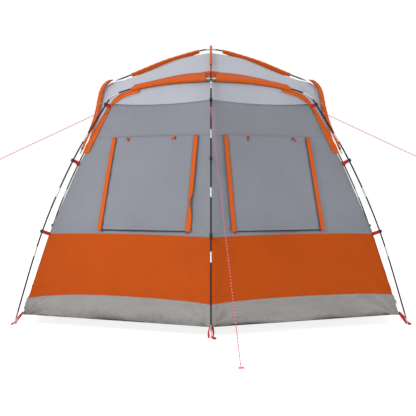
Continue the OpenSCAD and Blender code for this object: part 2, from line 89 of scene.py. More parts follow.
def wave(x, y, z, size=1.0, seed=0.0):
    """Smooth noise between about -1 and 1 whose lumps are about size metres apart."""
    return noise.noise(V(x / size + seed, y / size - seed * 0.7, z / size + seed * 0.3))


def crease(x, y, z, size, seed=0.0):
    """Narrow ridges along the zero lines of the noise: 0 in between, 1 on a ridge."""
    return max(0.0, 1 - 3.2 * abs(wave(x, y, z, size, seed))) ** 2


def flip(p):
    return V(-p.x, p.y, p.z)


def back(p):
    return V(p.x, -p.y, p.z)


def widen(p):
    return V(p.x * (1 + (0.95 / 0.866 - 1) * min(1, p.y / 0.430)), p.y, p.z)


def placed(p, right, front):
    q = p if front else widen(back(p))
    return q if right else flip(q)


INSIDE = V(0, 0, 1.1)


def inward(p, d):
    return p + d * (INSIDE - p).normalized()


# ---------------------------------------------------------------- walls
N, R1, R2, F, L2, L1 = range(6)
CORNER = [Vector(c) for c in ((0, -1), (0.866025, -0.5), (0.95, 0.5),
                              (0, 1), (-0.95, 0.5), (-0.866025, -0.5))]
WALLS = ("front_right", "right", "rear_right", "rear_left", "left", "front_left")
HEM, TUB, BAND, KNEE, TOP = 0.065, 0.208, 0.648, 1.165, 1.619
LEAN = ((HEM, 1.575), (BAND, 1.371), (KNEE, 1.129), (TOP, 0.855))
LINTEL, SILL, DOOR = 1.361, 0.690, 1.500


def straight(z):
    k = 0 if z < BAND else 1 if z < KNEE else 2
    (a, ra), (b, rb) = LEAN[k], LEAN[k + 1]
    return mix(ra, rb, (z - a) / (b - a))


def lean(z):
    """Distance of the cloth's corner edge from the axis, with the three slopes run softly into each other."""
    return sum(straight(z + d) for d in (-0.06, -0.03, 0, 0.03, 0.06)) / 5


def wall_dir(w):
    return (CORNER[(w + 1) % 6] - CORNER[w]).normalized()


def wall_out(w):
    d = wall_dir(w)
    return Vector((d.y, -d.x))


def corner_out(i):
    return 2 / ((wall_out(i) + wall_out((i + 5) % 6)) @ CORNER[i]) * CORNER[i]


def wall_point(w, u, z, o=0.0):
    out = corner_out(w) if u < 0.01 else corner_out((w + 1) % 6) if u > 0.99 else wall_out(w)
    p = lean(z) * mix(CORNER[w], CORNER[(w + 1) % 6], u) + o * out
    return V(p.x, p.y, z)


def wall_width(w, z):
    return lean(z) * (CORNER[(w + 1) % 6] - CORNER[w]).length


def bow(u):
    return 1 - (2 * u - 1) ** 2


# ---------------------------------------------------------------- routes of poles and sleeves
def spline(P, x):
    i = min(len(P) - 2, int(x))
    t = x - i
    a, b, c, d = P[max(0, i - 1)], P[i], P[i + 1], P[min(len(P) - 1, i + 2)]
    square, cube = 2 * a - 5 * b + 4 * c - d, 3 * b - a - 3 * c + d
    return 0.5 * (2 * b + (c - a) * t + square * t * t + cube * t ** 3)


def at(P, t):
    return spline(P, t * (len(P) - 1))


class Route:
    """A line through space, measured by its length from its first end."""

    def __init__(self, P, n=6):
        self.Q = [spline(P, k / n) for k in range(n * (len(P) - 1) + 1)]
        self.S = [0.0]
        for a, b in zip(self.Q, self.Q[1:]):
            self.S.append(self.S[-1] + (b - a).length)
        self.length = self.S[-1]

    def raw(self, s):
        k = 0
        while k < len(self.S) - 2 and self.S[k + 1] < s:
            k += 1
        return mix(self.Q[k], self.Q[k + 1], (s - self.S[k]) / (self.S[k + 1] - self.S[k]))

    def point(self, s):
        return (self.raw(s - 0.018) + 2 * self.raw(s) + self.raw(s + 0.018)) / 4

    def heading(self, s):
        return (self.raw(s + 0.02) - self.raw(s - 0.02)).normalized()


CLIMB = ((1.640, 0.003), (1.425, 0.667), (1.181, 1.189), (0.925, 1.593), (0.899, 1.632))


def up_corner(i, rz):
    return V(CORNER[i].x * rz[0], CORNER[i].y * rz[0], rz[1])


def whole(half, top):
    return half + [top] + [flip(p) for p in reversed(half)]


front_top = V(0, -0.738, 1.780)
BOW = [V(-0.578, -0.585, 1.722), V(-0.300, -0.690, 1.765)]
front_half = [up_corner(L1, c) for c in CLIMB + ((0.881, 1.658),)] + [V(-0.715, -0.482, 1.688)] + BOW
rear_half = [up_corner(L2, c) for c in CLIMB] + [widen(back(p)) for p in front_half[len(CLIMB):]]
FRONT = Route(whole(front_half, front_top))
REAR = Route(whole(rear_half, back(front_top)))
ridge_half = [up_corner(N, c) for c in CLIMB]
ridge_half += [V(0, -0.742, 1.798), V(0, -0.492, 1.935), V(0, -0.246, 2.050)]
RIDGE = Route(ridge_half + [V(0, 0, 2.104)] + [back(p) for p in reversed(ridge_half)])
crown_half = [V(-0.755, 0, 1.837), V(-0.630, 0, 1.883), V(-0.365, 0, 1.991), V(-0.095, 0, 2.071)]
CROWN = Route(whole(crown_half, V(0, 0, 2.082)))
brow_front = [V(0.972, -0.561, 1.240), V(0.888, -0.360, 1.515), V(0.855, -0.160, 1.755)]
brow_top = V(0.802, 0, 1.835)
BROW_LINE = brow_front + [brow_top] + [widen(back(p)) for p in reversed(brow_front)]
BROW_RIGHT = Route(BROW_LINE)
BROW_LEFT = Route([flip(p) for p in BROW_LINE])


# ---------------------------------------------------------------- mesh makers
def link(name, verts, faces, material, uvs=None, smooth=True):
    mesh = bpy.data.meshes.new(name)
    mesh.from_pydata(verts, [], faces)
    mesh.validate()
    obj = bpy.data.objects.new(name, mesh)
    bpy.context.scene.collection.objects.link(obj)
    if uvs:
        layer = mesh.uv_layers.new(name="metres")
        for loop in mesh.loops:
            layer.data[loop.index].uv = uvs[loop.vertex_index]
    mesh.polygons.foreach_set("use_smooth", [smooth] * len(mesh.polygons))
    mesh.materials.append(material)
    return obj


def grid(name, rows, material, skip=None, thick=0.0012, offset=-1.0):
    """Sheet through rows of points, whose texture coordinates are metres along and up the cloth."""
    m, n = len(rows), len(rows[0])
    verts = [p for row in rows for p in row]
    faces = [
        (j * n + i, j * n + i + 1, (j + 1) * n + i + 1, (j + 1) * n + i)
        for j in range(m - 1)
        for i in range(n - 1)
        if not (skip and skip(i, j))
    ]
    uvs = []
    rise = 0.0
    for j, row in enumerate(rows):
        if j:
            rise += (row[n // 2] - rows[j - 1][n // 2]).length
        run = [0.0]
        for a, b in zip(row, row[1:]):
            run.append(run[-1] + (b - a).length)
        uvs += [(r - run[-1] / 2, rise) for r in run]
    obj = link(name, verts, faces, material, uvs)
    thicken(obj, thick, offset)
    return obj


def sweep(name, sections, material, caps=True, smooth=True):
    """Skin over a row of rings of points; each ring has the same number of points."""
    n = len(sections[0])
    verts = [p for ring in sections for p in ring]
    faces, uvs = [], []
    run = 0.0
    for i, ring in enumerate(sections):
        if i:
            run += (ring[0] - sections[i - 1][0]).length
        girth = 0.0
        for k, p in enumerate(ring):
            uvs.append((run, girth))
            girth += (ring[(k + 1) % n] - p).length
    for i in range(len(sections) - 1):
        for k in range(n):
            a, b = i * n + k, i * n + (k + 1) % n
            faces.append((a, b, b + n, a + n))
    if caps:
        faces.append(tuple(reversed(range(n))))
        faces.append(tuple(range((len(sections) - 1) * n, len(sections) * n)))
    return link(name, verts, faces, material, uvs, smooth)


def tube(name, route, s0, s1, radius, material, step=0.02, n=12):
    """Round tube along a route; radius is a number or a function of the share along and the angle."""
    count = max(2, round((s1 - s0) / step))
    rings = []
    for k in range(count + 1):
        t = k / count
        s = mix(s0, s1, t)
        c, d = route.point(s), route.heading(s)
        side = d.cross(V(0.31, 0.52, 0.79)).normalized()
        up = side.cross(d)
        reach = [radius(t, a) if callable(radius) else radius for a in turns(n)]
        rings.append([c + r * (cos(a) * side + sin(a) * up) for r, a in zip(reach, turns(n))])
    return sweep(name, rings, material)


def join(name, parts):
    """One object out of several that share a material."""
    for o in bpy.context.selected_objects:
        o.select_set(False)
    for o in parts:
        o.select_set(True)
    bpy.context.view_layer.objects.active = parts[0]
    bpy.ops.object.join()
    parts[0].name = name
    parts[0].data.name = name
    return parts[0]


def turns(n):
    """Angles of n even steps round a circle."""
    return [2 * pi * k / n for k in range(n)]


def thicken(obj, thick, offset):
    solid = obj.modifiers.new("thickness", "SOLIDIFY")
    solid.thickness = thick
    solid.offset = offset


def lines(stops, counts):
    """Numbers that run through stops, with counts even steps in each stretch."""
    out = []
    for a, b, n in zip(stops, stops[1:], counts):
        out += [mix(a, b, i / n) for i in range(n)]
    return out + [stops[-1]]


def lattice(levels, count, point):
    """Rows of points: a row to each level, with count even steps from 0 to 1 along it."""
    return [[point(k / count, v) for k in range(count + 1)] for v in levels]


def side_rows(right, levels, count, point, backward=False):
    """Lattice for one side of the tent, where point(i, v) gives the right side and the left mirrors it.

    i falls along a row on the left side, or on the right if backward, so that both sides face out.
    """
    rows = lattice(levels, count, lambda t, v: point(t if right != backward else 1 - t, v))
    return rows if right else [[flip(p) for p in row] for row in rows]


def quarter_name(right, front):
    return ("front_" if front else "rear_") + ("right" if right else "left")


# ---------------------------------------------------------------- materials
def srgb(r, g, b):
    """Colour given as 0 to 255, in the linear values that nodes take."""
    def linear(x):
        return x / 255 / 12.92 if x <= 10 else ((x / 255 + 0.055) / 1.055) ** 2.4

    return linear(r), linear(g), linear(b), 1.0


class Shader:
    """A material with its nodes made by short calls."""

    def __init__(self, name, rough=0.6, metallic=0.0, specular=0.4, sheen=0.0, coat=0.0):
        self.material = bpy.data.materials.new(name)
        self.material.use_nodes = True
        self.tree = self.material.node_tree
        self.shader = self.tree.nodes["Principled BSDF"]
        self.shader.inputs["Roughness"].default_value = rough
        self.shader.inputs["Metallic"].default_value = metallic
        self.shader.inputs["Specular IOR Level"].default_value = specular
        self.shader.inputs["Sheen Weight"].default_value = sheen
        self.shader.inputs["Sheen Roughness"].default_value = 0.45
        self.shader.inputs["Coat Weight"].default_value = coat
        self.shader.inputs["Coat Roughness"].default_value = 0.3

    def add(self, kind, **settings):
        node = self.tree.nodes.new("ShaderNode" + kind)
        for key, value in settings.items():
            if key in node.bl_rna.properties:
                setattr(node, key, value)
            else:
                node.inputs[key.replace("_", " ")].default_value = value
        return node

    def wire(self, a, b):
        self.tree.links.new(a, b)

    def uv(self):
        return self.add("TexCoord").outputs["UV"]

    def place(self):
        return self.add("TexCoord").outputs["Object"]

    def math(self, operation, a, b=0.5):
        node = self.add("Math", operation=operation)
        for socket, value in zip(node.inputs, (a, b)):
            if isinstance(value, (int, float)):
                socket.default_value = value
            else:
                self.wire(value, socket)
        return node.outputs[0]

    def ramp(self, value, stops, constant=False):
        node = self.add("ValToRGB")
        node.color_ramp.interpolation = "CONSTANT" if constant else "LINEAR"
        while len(node.color_ramp.elements) < len(stops):
            node.color_ramp.elements.new(0.5)
        for element, (x, color) in zip(node.color_ramp.elements, stops):
            element.position = x
            element.color = color
        self.wire(value, node.inputs[0])
        return node.outputs[0]

    def noise(self, where, scale, detail=3.0, rough=0.5, stretch=None):
        node = self.add("TexNoise", Scale=scale, Detail=detail, Roughness=rough)
        if stretch:
            mapping = self.add("Mapping")
            mapping.inputs["Scale"].default_value = stretch
            self.wire(where, mapping.inputs["Vector"])
            where = mapping.outputs[0]
        self.wire(where, node.inputs["Vector"])
        return node.outputs[0]

    def threads(self, where, pitch, axis):
        node = self.add("TexWave", wave_type="BANDS", bands_direction=axis, Scale=0.314 / pitch)
        node.inputs["Distortion"].default_value = 0.0
        self.wire(where, node.inputs["Vector"])
        return node.outputs["Fac"]

    def bump(self, height, distance, strength=1.0, before=None):
        node = self.add("Bump", Distance=distance, Strength=strength)
        self.wire(height, node.inputs["Height"])
        if before:
            self.wire(before, node.inputs["Normal"])
        return node.outputs[0]

    def finish(self, color, normal=None, rough=None, alpha=None):
        self.wire(color, self.shader.inputs["Base Color"])
        if normal:
            self.wire(normal, self.shader.inputs["Normal"])
        if rough:
            self.wire(rough, self.shader.inputs["Roughness"])
        if alpha:
            self.wire(alpha, self.shader.inputs["Alpha"])
        return self.material


def tone(color, k, shift=0.0):
    return tuple(clamp(c * k + shift) for c in color[:3]) + (1.0,)


def cloth(name, color, rough=0.6, sheen=0.15, specular=0.35, pitch=0.0016, crumple=0.0022, vary=0.07,
          darker_below=(), grain=(1.0, 1.0, 0.6)):
    """Woven synthetic cloth: fine threads, small crumples, and a faint change of tone over the panel.

    An optional (low, high, amount) darkens the cloth by amount from the height high down to low: painted
    shade on the tub cloth, and darker towards the bottom on the grey walls.
    """
    s = Shader(name, rough, specular=specular, sheen=sheen)
    uv, place = s.uv(), s.place()
    broad = s.noise(place, 2.1, 4.0, 0.55)
    fine = s.noise(place, 34.0, 3.0, 0.6)
    shade = s.math("ADD", s.math("MULTIPLY", broad, 0.75), s.math("MULTIPLY", fine, 0.25))
    stops = [(0.3, tone(color, 1 - vary)), (0.7, tone(color, 1 + vary))]
    # Darker towards the bottom, by object height: on the tub cloth this is painted shade where the tub turns
    # under.
    if darker_below:
        low, high, amount = darker_below
        split = s.add("SeparateXYZ")
        s.wire(place, split.inputs[0])
        above = s.math("DIVIDE", s.math("SUBTRACT", split.outputs[2], low), high - low)
        above = s.math("MINIMUM", s.math("MAXIMUM", above, 0.0), 1.0)
        shade = s.math("SUBTRACT", shade, s.math("MULTIPLY", s.math("SUBTRACT", 1.0, above), amount))
        stops = [(0.0, tone(color, 0.45))] + stops
    base = s.ramp(shade, stops)
    weave = s.math("MULTIPLY", s.threads(uv, pitch, "X"), s.threads(uv, pitch, "Y"))
    normal = s.bump(weave, 0.00025, 0.5)
    folds = s.noise(place, 9.0, 4.0, 0.55, grain)
    normal = s.bump(folds, crumple, 0.8, normal)
    return s.finish(base, normal)


# The grey walls get darker towards the bottom.
GREY = cloth("grey_cloth", srgb(133, 136, 145), darker_below=(0.38, 0.85, 0.34), crumple=0.0045)
LIGHT = cloth("light_cloth", srgb(175, 179, 189))
SILVER = cloth("silver_cloth", srgb(188, 191, 203), rough=0.42, specular=0.5, sheen=0.05, vary=0.05)
ORANGE = cloth("orange_cloth", srgb(185, 76, 10), sheen=0.0, specular=0.12, rough=0.7, crumple=0.0045)
TRIM = cloth("orange_trim", srgb(212, 90, 12), rough=0.55, crumple=0.0012, sheen=0.0, specular=0.2)
# Painted shade: the tub cloth darkens towards the hem, where the tub turns under.
TUBS = cloth("tub_cloth", srgb(148, 145, 143), rough=0.45, crumple=0.016, pitch=0.0012,
             darker_below=(0.01, 0.17, 0.62), grain=(0.35, 0.35, 2.2))


def netting():
    s = Shader("window_netting", 0.8, specular=0.2)
    uv = s.uv()
    holes = s.math("MULTIPLY", s.threads(uv, 0.0016, "X"), s.threads(uv, 0.0016, "Y"))
    color = s.ramp(holes, [(0.0, srgb(44, 46, 50)), (1.0, srgb(22, 23, 26))])
    solid = s.math("SUBTRACT", 1.0, s.math("MULTIPLY", holes, 0.75))
    return s.finish(color, s.bump(holes, 0.0002), alpha=solid)


def webbing():
    s = Shader("red_webbing", 0.6, specular=0.3, sheen=0.2)
    color = srgb(200, 6, 22)
    place = s.place()
    ribs = s.threads(place, 0.0022, "Z")
    base = s.ramp(s.noise(place, 60.0), [(0.3, tone(color, 0.82)), (0.7, tone(color, 1.12))])
    return s.finish(base, s.bump(ribs, 0.0003, 0.8))


def fibreglass():
    s = Shader("fibreglass", 0.4, specular=0.2, coat=0.05)
    place = s.place()
    streaks = s.noise(place, 90.0, 3.0, 0.6, (1.0, 1.0, 0.06))
    base = s.ramp(streaks, [(0.3, srgb(10, 11, 13)), (0.75, srgb(26, 28, 31))])
    return s.finish(base, s.bump(streaks, 0.0002, 0.5))


def metal(name, dark, light, rough):
    s = Shader(name, rough, metallic=0.85, specular=0.5)
    place = s.place()
    scuffs = s.noise(place, 140.0, 4.0, 0.7, (1.0, 1.0, 0.1))
    base = s.ramp(scuffs, [(0.3, dark), (0.7, light)])
    grade = s.math("ADD", rough - 0.08, s.math("MULTIPLY", s.noise(place, 30.0), 0.2))
    return s.finish(base, s.bump(scuffs, 0.0001, 0.5), rough=grade)


def plastic(name, color):
    s = Shader(name, 0.45, specular=0.5)
    place = s.place()
    grain = s.noise(place, 900.0, 2.0)
    base = s.ramp(s.noise(place, 25.0), [(0.3, tone(color, 0.85)), (0.7, tone(color, 1.2, 0.004))])
    return s.finish(base, s.bump(grain, 0.0002, 0.6))


def guy_stripes():
    s = Shader("guy_cord", 0.7, specular=0.25, sheen=0.2)
    uv = s.uv()
    along = s.add("SeparateXYZ")
    s.wire(uv, along.inputs[0])
    turn = s.math("FRACT", s.math("MULTIPLY", along.outputs[0], 1 / 0.027))
    red, pale = srgb(214, 30, 62), srgb(240, 226, 230)
    base = s.ramp(turn, [(0.0, red), (0.62, pale), (0.8, red)], constant=True)
    braid = s.math("MULTIPLY", s.threads(uv, 0.003, "DIAGONAL"), s.threads(uv, 0.0021, "Y"))
    return s.finish(base, s.bump(braid, 0.0004, 0.8))


NET, RED, BLACK = netting(), webbing(), fibreglass()
STEEL = metal("ferrule_metal", srgb(196, 199, 203), srgb(240, 241, 243), 0.32)
ZIP = metal("zip_metal", srgb(120, 122, 126), srgb(176, 178, 182), 0.36)
CLIP = plastic("clip_plastic", srgb(30, 31, 34))
TOGGLE = plastic("toggle_plastic", srgb(26, 26, 28))
GUY = guy_stripes()


def place(obj, body, slot, *replaced):
    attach(obj, body)
    if replaced:
        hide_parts(*replaced)


# ---------------------------------------------------------------- guy lines
def ring(name, centre, radius, thickness, material):
    """Ring that lies flat."""
    up = V(0, 0, 1)
    x = up.orthogonal().normalized()
    y = up.cross(x)
    rings = []
    for a in turns(28) + [2 * pi]:
        out = cos(a) * x + sin(a) * y
        rings.append([centre + radius * out + thickness * (cos(b) * out + sin(b) * up) for b in turns(10)])
    return sweep(name, rings, material, caps=False)


def knot(name, centre, size, material):
    """Small overhand knot: a trefoil of cord pulled tight."""
    rings = []
    n = 48
    line = [centre + size * V(sin(t) + 2 * sin(2 * t), cos(t) - 2 * cos(2 * t), -1.6 * sin(3 * t)) / 3
            for t in turns(n) + [2 * pi]]
    for k, c in enumerate(line):
        d = (line[(k + 1) % n] - line[(k - 1) % n]).normalized()
        side = d.cross(V(0.2, 0.3, 0.93)).normalized()
        other = side.cross(d)
        rings.append([c + 0.0023 * (cos(b) * side + sin(b) * other) for b in turns(8)])
    return sweep(name, rings, material, caps=False)


CORD = 0.0045


def guy_line(node, points, steps):
    """Taut cord along points, from its knot to the sewn loop at its far end."""
    route = Route(points, steps)
    line = tube(node.replace("guy_line", "guy_cord"), route, 0, route.length, CORD / 2, GUY, 0.035, 10)
    tail = route.Q[-1]
    way = route.heading(route.length - 0.01)
    flat = V(way.x, way.y, 0).normalized()
    loop = ring(node.replace("line", "loop"), tail + 0.0225 * flat, 0.016, CORD / 2, GUY)
    tie = knot(node.replace("line", "knot"), points[0] + 0.012 * way, 0.008, GUY)
    for part in (line, loop, tie):
        place(part, "tent", "guy_cord")
    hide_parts(node)
    path = [route.point(route.length * k / 24) for k in range(25)]


front_guy = [V(-0.002, -0.963, 1.556), V(0.039, -1.440, 1.168), V(0.080, -1.916, 0.780),
             V(0.121, -2.392, 0.392), V(0.162, -2.868, 0.005)]
right_guy = [V(0.838, -0.484, 1.550), V(1.038, -0.486, 1.456), V(1.239, -0.488, 1.362),
             V(1.440, -0.490, 1.268), V(1.640, -0.493, 1.174)]
guy_line("guy_line_front", front_guy, 6)
guy_line("guy_line_right", right_guy, 4)
guy_line("guy_line_left", [flip(p) for p in right_guy], 4)


# ---------------------------------------------------------------- folds in the cloth
def corner_gaps(w, u, z):
    wide = wall_width(w, z)
    return u * wide, (1 - u) * wide


def fan(along, above, size, count, phase):
    """Folds that radiate from a corner: along and above are distances from it."""
    far = (along * along + above * above) ** 0.5
    turn = atan2(above, along + 1e-4)
    return exp(-far / size) * ease(far / 0.05) * sin(turn * count + phase)


def wall_push(w, u, z):
    a, b = corner_gaps(w, u, z)
    edge = min(a, b)
    p = wall_point(w, u, z)
    low = ease((1.34 - z) / 0.5)
    near_n = a if w == 0 else b if w == 5 else edge
    o = -0.005 * bow(u) + 0.003 * wave(p.x, p.y, p.z, 0.33, w)
    pleats = sin(2 * pi * near_n / 0.043 + 2.2 * wave(0, w, z, 0.25))
    o += 0.0042 * low * exp(-((near_n - 0.075) / 0.07) ** 2) * pleats
    o += 0.003 * fan(a, z - BAND, 0.16, 13, w) + 0.003 * fan(b, z - BAND, 0.16, 13, w + 2)
    o += 0.002 * fan(a, TOP - z, 0.22, 11, w) + 0.002 * fan(b, TOP - z, 0.22, 11, w + 1)
    o -= 0.0018 * crease(p.x, p.y, p.z * 1.8, 0.26, w + 3)
    o += 0.0012 * wave(p.x, p.y, p.z * 3, 0.09, w)
    return 1.5 * ease(edge / 0.03) * o


def band_push(w, u, z):
    a, b = corner_gaps(w, u, z)
    p = wall_point(w, u, z)
    o = -0.005 * bow(u) + 0.004 * wave(p.x, p.y, p.z, 0.3, w + 9)
    o += 0.0055 * fan(a, z - TUB, 0.26, 10, 0.5 + w) + 0.0055 * fan(b, z - TUB, 0.26, 10, 1.5 + w)
    o += 0.0035 * fan(a, BAND - z, 0.2, 9, w) + 0.0035 * fan(b, BAND - z, 0.2, 9, w + 2)
    o -= 0.002 * crease(p.x, p.y, p.z * 1.4, 0.3, w + 5)
    return 2.1 * ease(min(a, b) / 0.07) * o


def tub_push(w, u, z):
    a, b = corner_gaps(w, u, z)
    p = wall_point(w, u, z)
    swoop = 0.019 * wave(p.x * 0.45 + z, p.y * 0.45, z * 1.2, 0.13, w + 19)
    o = -0.006 * bow(u) + swoop + 0.0035 * wave(p.x, p.y, z * 2.5, 0.07, w + 23)
    for gap, phase in ((a, w), (b, w + 1.4)):
        o += 0.011 * fan(gap, z - HEM + 0.012, 0.42, 14, phase)
        o += 0.006 * fan(gap, TUB - z + 0.03, 0.25, 11, phase + 3)
        o += 0.004 * exp(-gap / 0.12) * sin(gap * 95 + phase)
    o -= 0.004 * crease(p.x * 0.6, p.y * 0.6, z * 1.3 + 0.3 * min(a, b), 0.12, w)
    o += 0.004 * sin(pi * (z - HEM) / (TUB - HEM))
    return ease(min(a, b) / 0.08) * o


def tub_seam(w, u):
    slip = max(0, 1 - u / 0.45) if w == 5 else max(0, 1 - (1 - u) / 0.45) if w == 4 else 0
    return TUB + (0 if w == 1 else 0.026 * bow(u) ** 0.6) - 0.024 * slip ** 2


def band_seam(w, u):
    return BAND + 0.012 * bow(u)


def top_seam(w, u):
    return TOP - (0.0 if w in (1, 4) else 0.022 * bow(u))


def seam_flat(x, z):
    """Keeps the cloth still where two panels are sewn together."""
    return ease(abs(x - z) / 0.02)


# ---------------------------------------------------------------- floor, tub and coloured band
floor_rows = []
for r in (0.04, 0.3, 0.6, 0.85, 1.0, 1.06, 1.2, 1.4, 1.5, 1.54):
    lift = 0.062 * ease((r - 1.0) / 0.545) ** 0.8
    row = []
    for k in range(6):
        for i in range(12):
            p = r * mix(CORNER[k], CORNER[(k + 1) % 6], i / 12)
            row.append(V(p.x, p.y, 0.0025 + lift + (0.0015 * abs(wave(p.x, p.y, 0, 0.12)) if r < 1.5 else 0)))
    floor_rows.append(row + [row[0].copy()])
floor_sheet = grid("groundsheet_cloth", floor_rows, TUBS, thick=0.001, offset=1.0)
floor_sheet.data.flip_normals()
place(floor_sheet, "tent", "tub_cloth", "groundsheet")

def tub_point(w, u, v):
    z = mix(HEM, tub_seam(w, u), v)
    keep = seam_flat(z, tub_seam(w, u))
    roll = -0.026 * (1 - ease(v / 0.30)) * ease(min(u, 1 - u) / 0.05) - 0.004 * (1 - ease(v / 0.06))
    return wall_point(w, u, z, keep * tub_push(w, u, z) + roll)


for w, name in enumerate(WALLS):
    levels = lines([0, 0.06, 0.3, 0.94, 1], (2, 5, 12, 1))
    side = grid(f"tub_side_{name}", lattice(levels, 110, lambda u, v: tub_point(w, u, v)), TUBS)
    place(side, "tent", "tub_cloth")
    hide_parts("tub_sides")
    wall_width(w, 0.13)


def band_piece(name, w, u0, u1, node, n):
    def point(t, v):
        u = mix(u0, u1, t)
        low, high = tub_seam(w, u), band_seam(w, u)
        z = mix(low, high, v)
        keep = seam_flat(z, low) * seam_flat(z, high)
        return wall_point(w, u, z, keep * band_push(w, u, z))

    piece = grid(name, lattice(lines([0, 0.02, 0.98, 1], (1, 14, 1)), n, point), ORANGE)
    place(piece, "tent", "orange_cloth")
    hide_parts(node)
    (u1 - u0) * wall_width(w, 0.42)


DOOR_A, DOOR_B = 0.24, 0.76
for w, name in enumerate(WALLS):
    if w == 1:
        band_piece("band_right_near", w, 0, DOOR_A, "orange_band_right", 18)
        band_piece("band_right_far", w, DOOR_B, 1, "orange_band_right", 18)
    else:
        band_piece(f"band_{name}", w, 0, 1, f"orange_band_{name}", 60)


# ---------------------------------------------------------------- upper walls
def window_s(z, low, high):
    return mix(low, high, (z - SILL) / (LINTEL - SILL))


def inner_s(z):
    return window_s(z, 0.158, 0.098)


def outer_s(z):
    return window_s(z, 0.930, 0.833)


def window_u(w, s, z):
    return s / wall_width(w, z) if w == 0 else 1 - s / wall_width(w, z)


HOLE_LOW, HOLE_HIGH, EDGE = 0.720, 1.290, 0.046


def wall_sheet(w, name, columns, col_counts, row_stops, row_counts, hole):
    """Upper wall: columns(z) gives the places across, as shares of its width, and hole the cells left out."""
    rows = []
    for z0 in lines(row_stops, row_counts):
        row = []
        for u in lines(columns(z0), col_counts):
            low, high = band_seam(w, u), top_seam(w, u)
            z = z0 + (low - BAND) * (1 - ease((z0 - BAND) / 0.07))
            z += (high - TOP) * ease((z0 - 1.37) / 0.24)
            keep = seam_flat(z, low) * seam_flat(z, high)
            row.append(wall_point(w, u, z, keep * wall_push(w, u, z)))
        rows.append(row)
    piece = grid(f"wall_{name}", rows, GREY, skip=hole)
    place(piece, "tent", "grey_cloth", f"wall_panel_{name}")
    return piece


def within(i0, i1, j0, j1):
    return lambda i, j: i0 <= i < i1 and j0 <= j < j1


WINDOWS = ((0, "right"), (5, "left"))
for w, side in WINDOWS:
    def columns(z, w=w):
        stops = [window_u(w, s, z) for s in (inner_s(z) + EDGE, outer_s(z) - EDGE)]
        return [0] + stops + [1] if w == 0 else [0] + stops[::-1] + [1]

    counts = (10, 26, 18) if w == 0 else (18, 26, 10)
    i0 = counts[0]
    piece = wall_sheet(w, f"front_{side}", columns, counts, [BAND, HOLE_LOW, HOLE_HIGH, TOP], (5, 26, 16),
                       within(i0, i0 + 26, 5, 31))

door = wall_sheet(1, "right", lambda z: [0, DOOR_A, DOOR_B, 1], (14, 24, 14), [BAND, DOOR, TOP], (34, 6),
                  within(14, 38, 0, 34))
for w in (2, 3, 4):
    plain = wall_sheet(w, WALLS[w], lambda z: [0, 1], (50,), [BAND, TOP], (42,), None)
    wall_width(w, BAND)
    wall_width(w, 1.1) * 1.12

# Flat-felled seam across each window wall, above the covers
for w, side in WINDOWS:
    def seam_point(t, dz, w=w):
        u, z = mix(0.012, 0.988, t), LINTEL + dz
        return wall_point(w, u, z, wall_push(w, u, z) + (0.0022 if abs(dz) < 0.006 else 0.0006))

    rows = lattice((-0.008, -0.005, 0.005, 0.008), 60, seam_point)
    seam = grid(f"window_seam_front_{side}", rows, GREY, thick=0.0006)
    place(seam, "tent", "grey_cloth")


# ---------------------------------------------------------------- roof and gables
edge_in = 0.022
tip = inward(brow_front[0], edge_in)
shoulder = V(CORNER[R1].x * 0.869, CORNER[R1].y * 0.869, TOP)
roof_edge = [inward(p, edge_in) for p in (front_top, flip(BOW[1]), flip(BOW[0]))] + [shoulder, tip]
roof_crown = [V(0, 0, 2.056), V(0.25, 0, 2.011), V(0.47, 0, 1.924), V(0.65, 0, 1.852),
              inward(brow_top, edge_in)]
roof_ridge = [inward(front_top, edge_in), V(0, -0.48, 1.902), V(0, -0.24, 2.018), V(0, 0, 2.056)]
roof_brow = [inward(p, edge_in) for p in brow_front + [brow_top]]


def roof(s, t):
    """Front right quarter of the roof: s runs from the ridge to the brow, t from the arch to the crown."""
    a = mix(at(roof_edge, s), at(roof_crown, s), t) + mix(at(roof_ridge, t), at(roof_brow, t), s)
    return a - mix(mix(roof_edge[0], roof_edge[4], s), mix(roof_crown[0], roof_crown[4], s), t)


ROOF_SAG = 0.058


def roof_cloth(s, t, right, front, lift=0.0):
    p = placed(roof(s, t), right, front)
    slack = sin(pi * clamp(s) ** 1.3) * sin(pi * clamp(t) ** 1.9)
    edge = ease(min(s, 1 - s) / 0.06) * ease(min(t, 1 - t) / 0.06)
    ripples = 0.0035 * wave(p.x, p.y, p.z, 0.3, 40) + 0.0015 * wave(p.x, p.y, p.z, 0.1, 41)
    d = ROOF_SAG * slack + edge * ripples
    d += edge * 0.002 * crease(p.x, p.y, p.z, 0.4, 43)
    return inward(p, d - lift)


CELLS = 26
STEPS = range(-CELLS, CELLS + 1)
rows = [[roof_cloth(abs(i) / CELLS, 1 - abs(j) / CELLS, i >= 0, j <= 0) for i in STEPS] for j in STEPS]
roof_sheet = grid("roof_cloth", rows, SILVER)
place(roof_sheet, "tent", "silver_cloth", "roof_panel_front_right", "roof_panel_front_left",
      "roof_panel_rear_right", "roof_panel_rear_left")


def gable_base(i):
    u = min(0.985, i)
    return wall_point(0, u, top_seam(0, u)) + V(0, 0, 0.0015)


def gable_rim(i):
    """Top edge of a corner gable, just under the roof's edge; i runs from the ridge to the shoulder."""
    return inward(at(roof_edge, 0.75 * i), 0.007)


def gable_point(i, v, front):
    low, high = gable_base(i), gable_rim(i)
    if not front:
        low, high = widen(back(low)), widen(back(high))
    p = mix(low, high, v)
    ripples = 0.0035 * wave(p.x, p.y, p.z, 0.16, 50) + 0.002 * wave(p.x * 2, p.y * 2, p.z * 5, 0.2, 51)
    return inward(p, -sin(pi * v) * (ripples - 0.006 * sin(pi * i)))


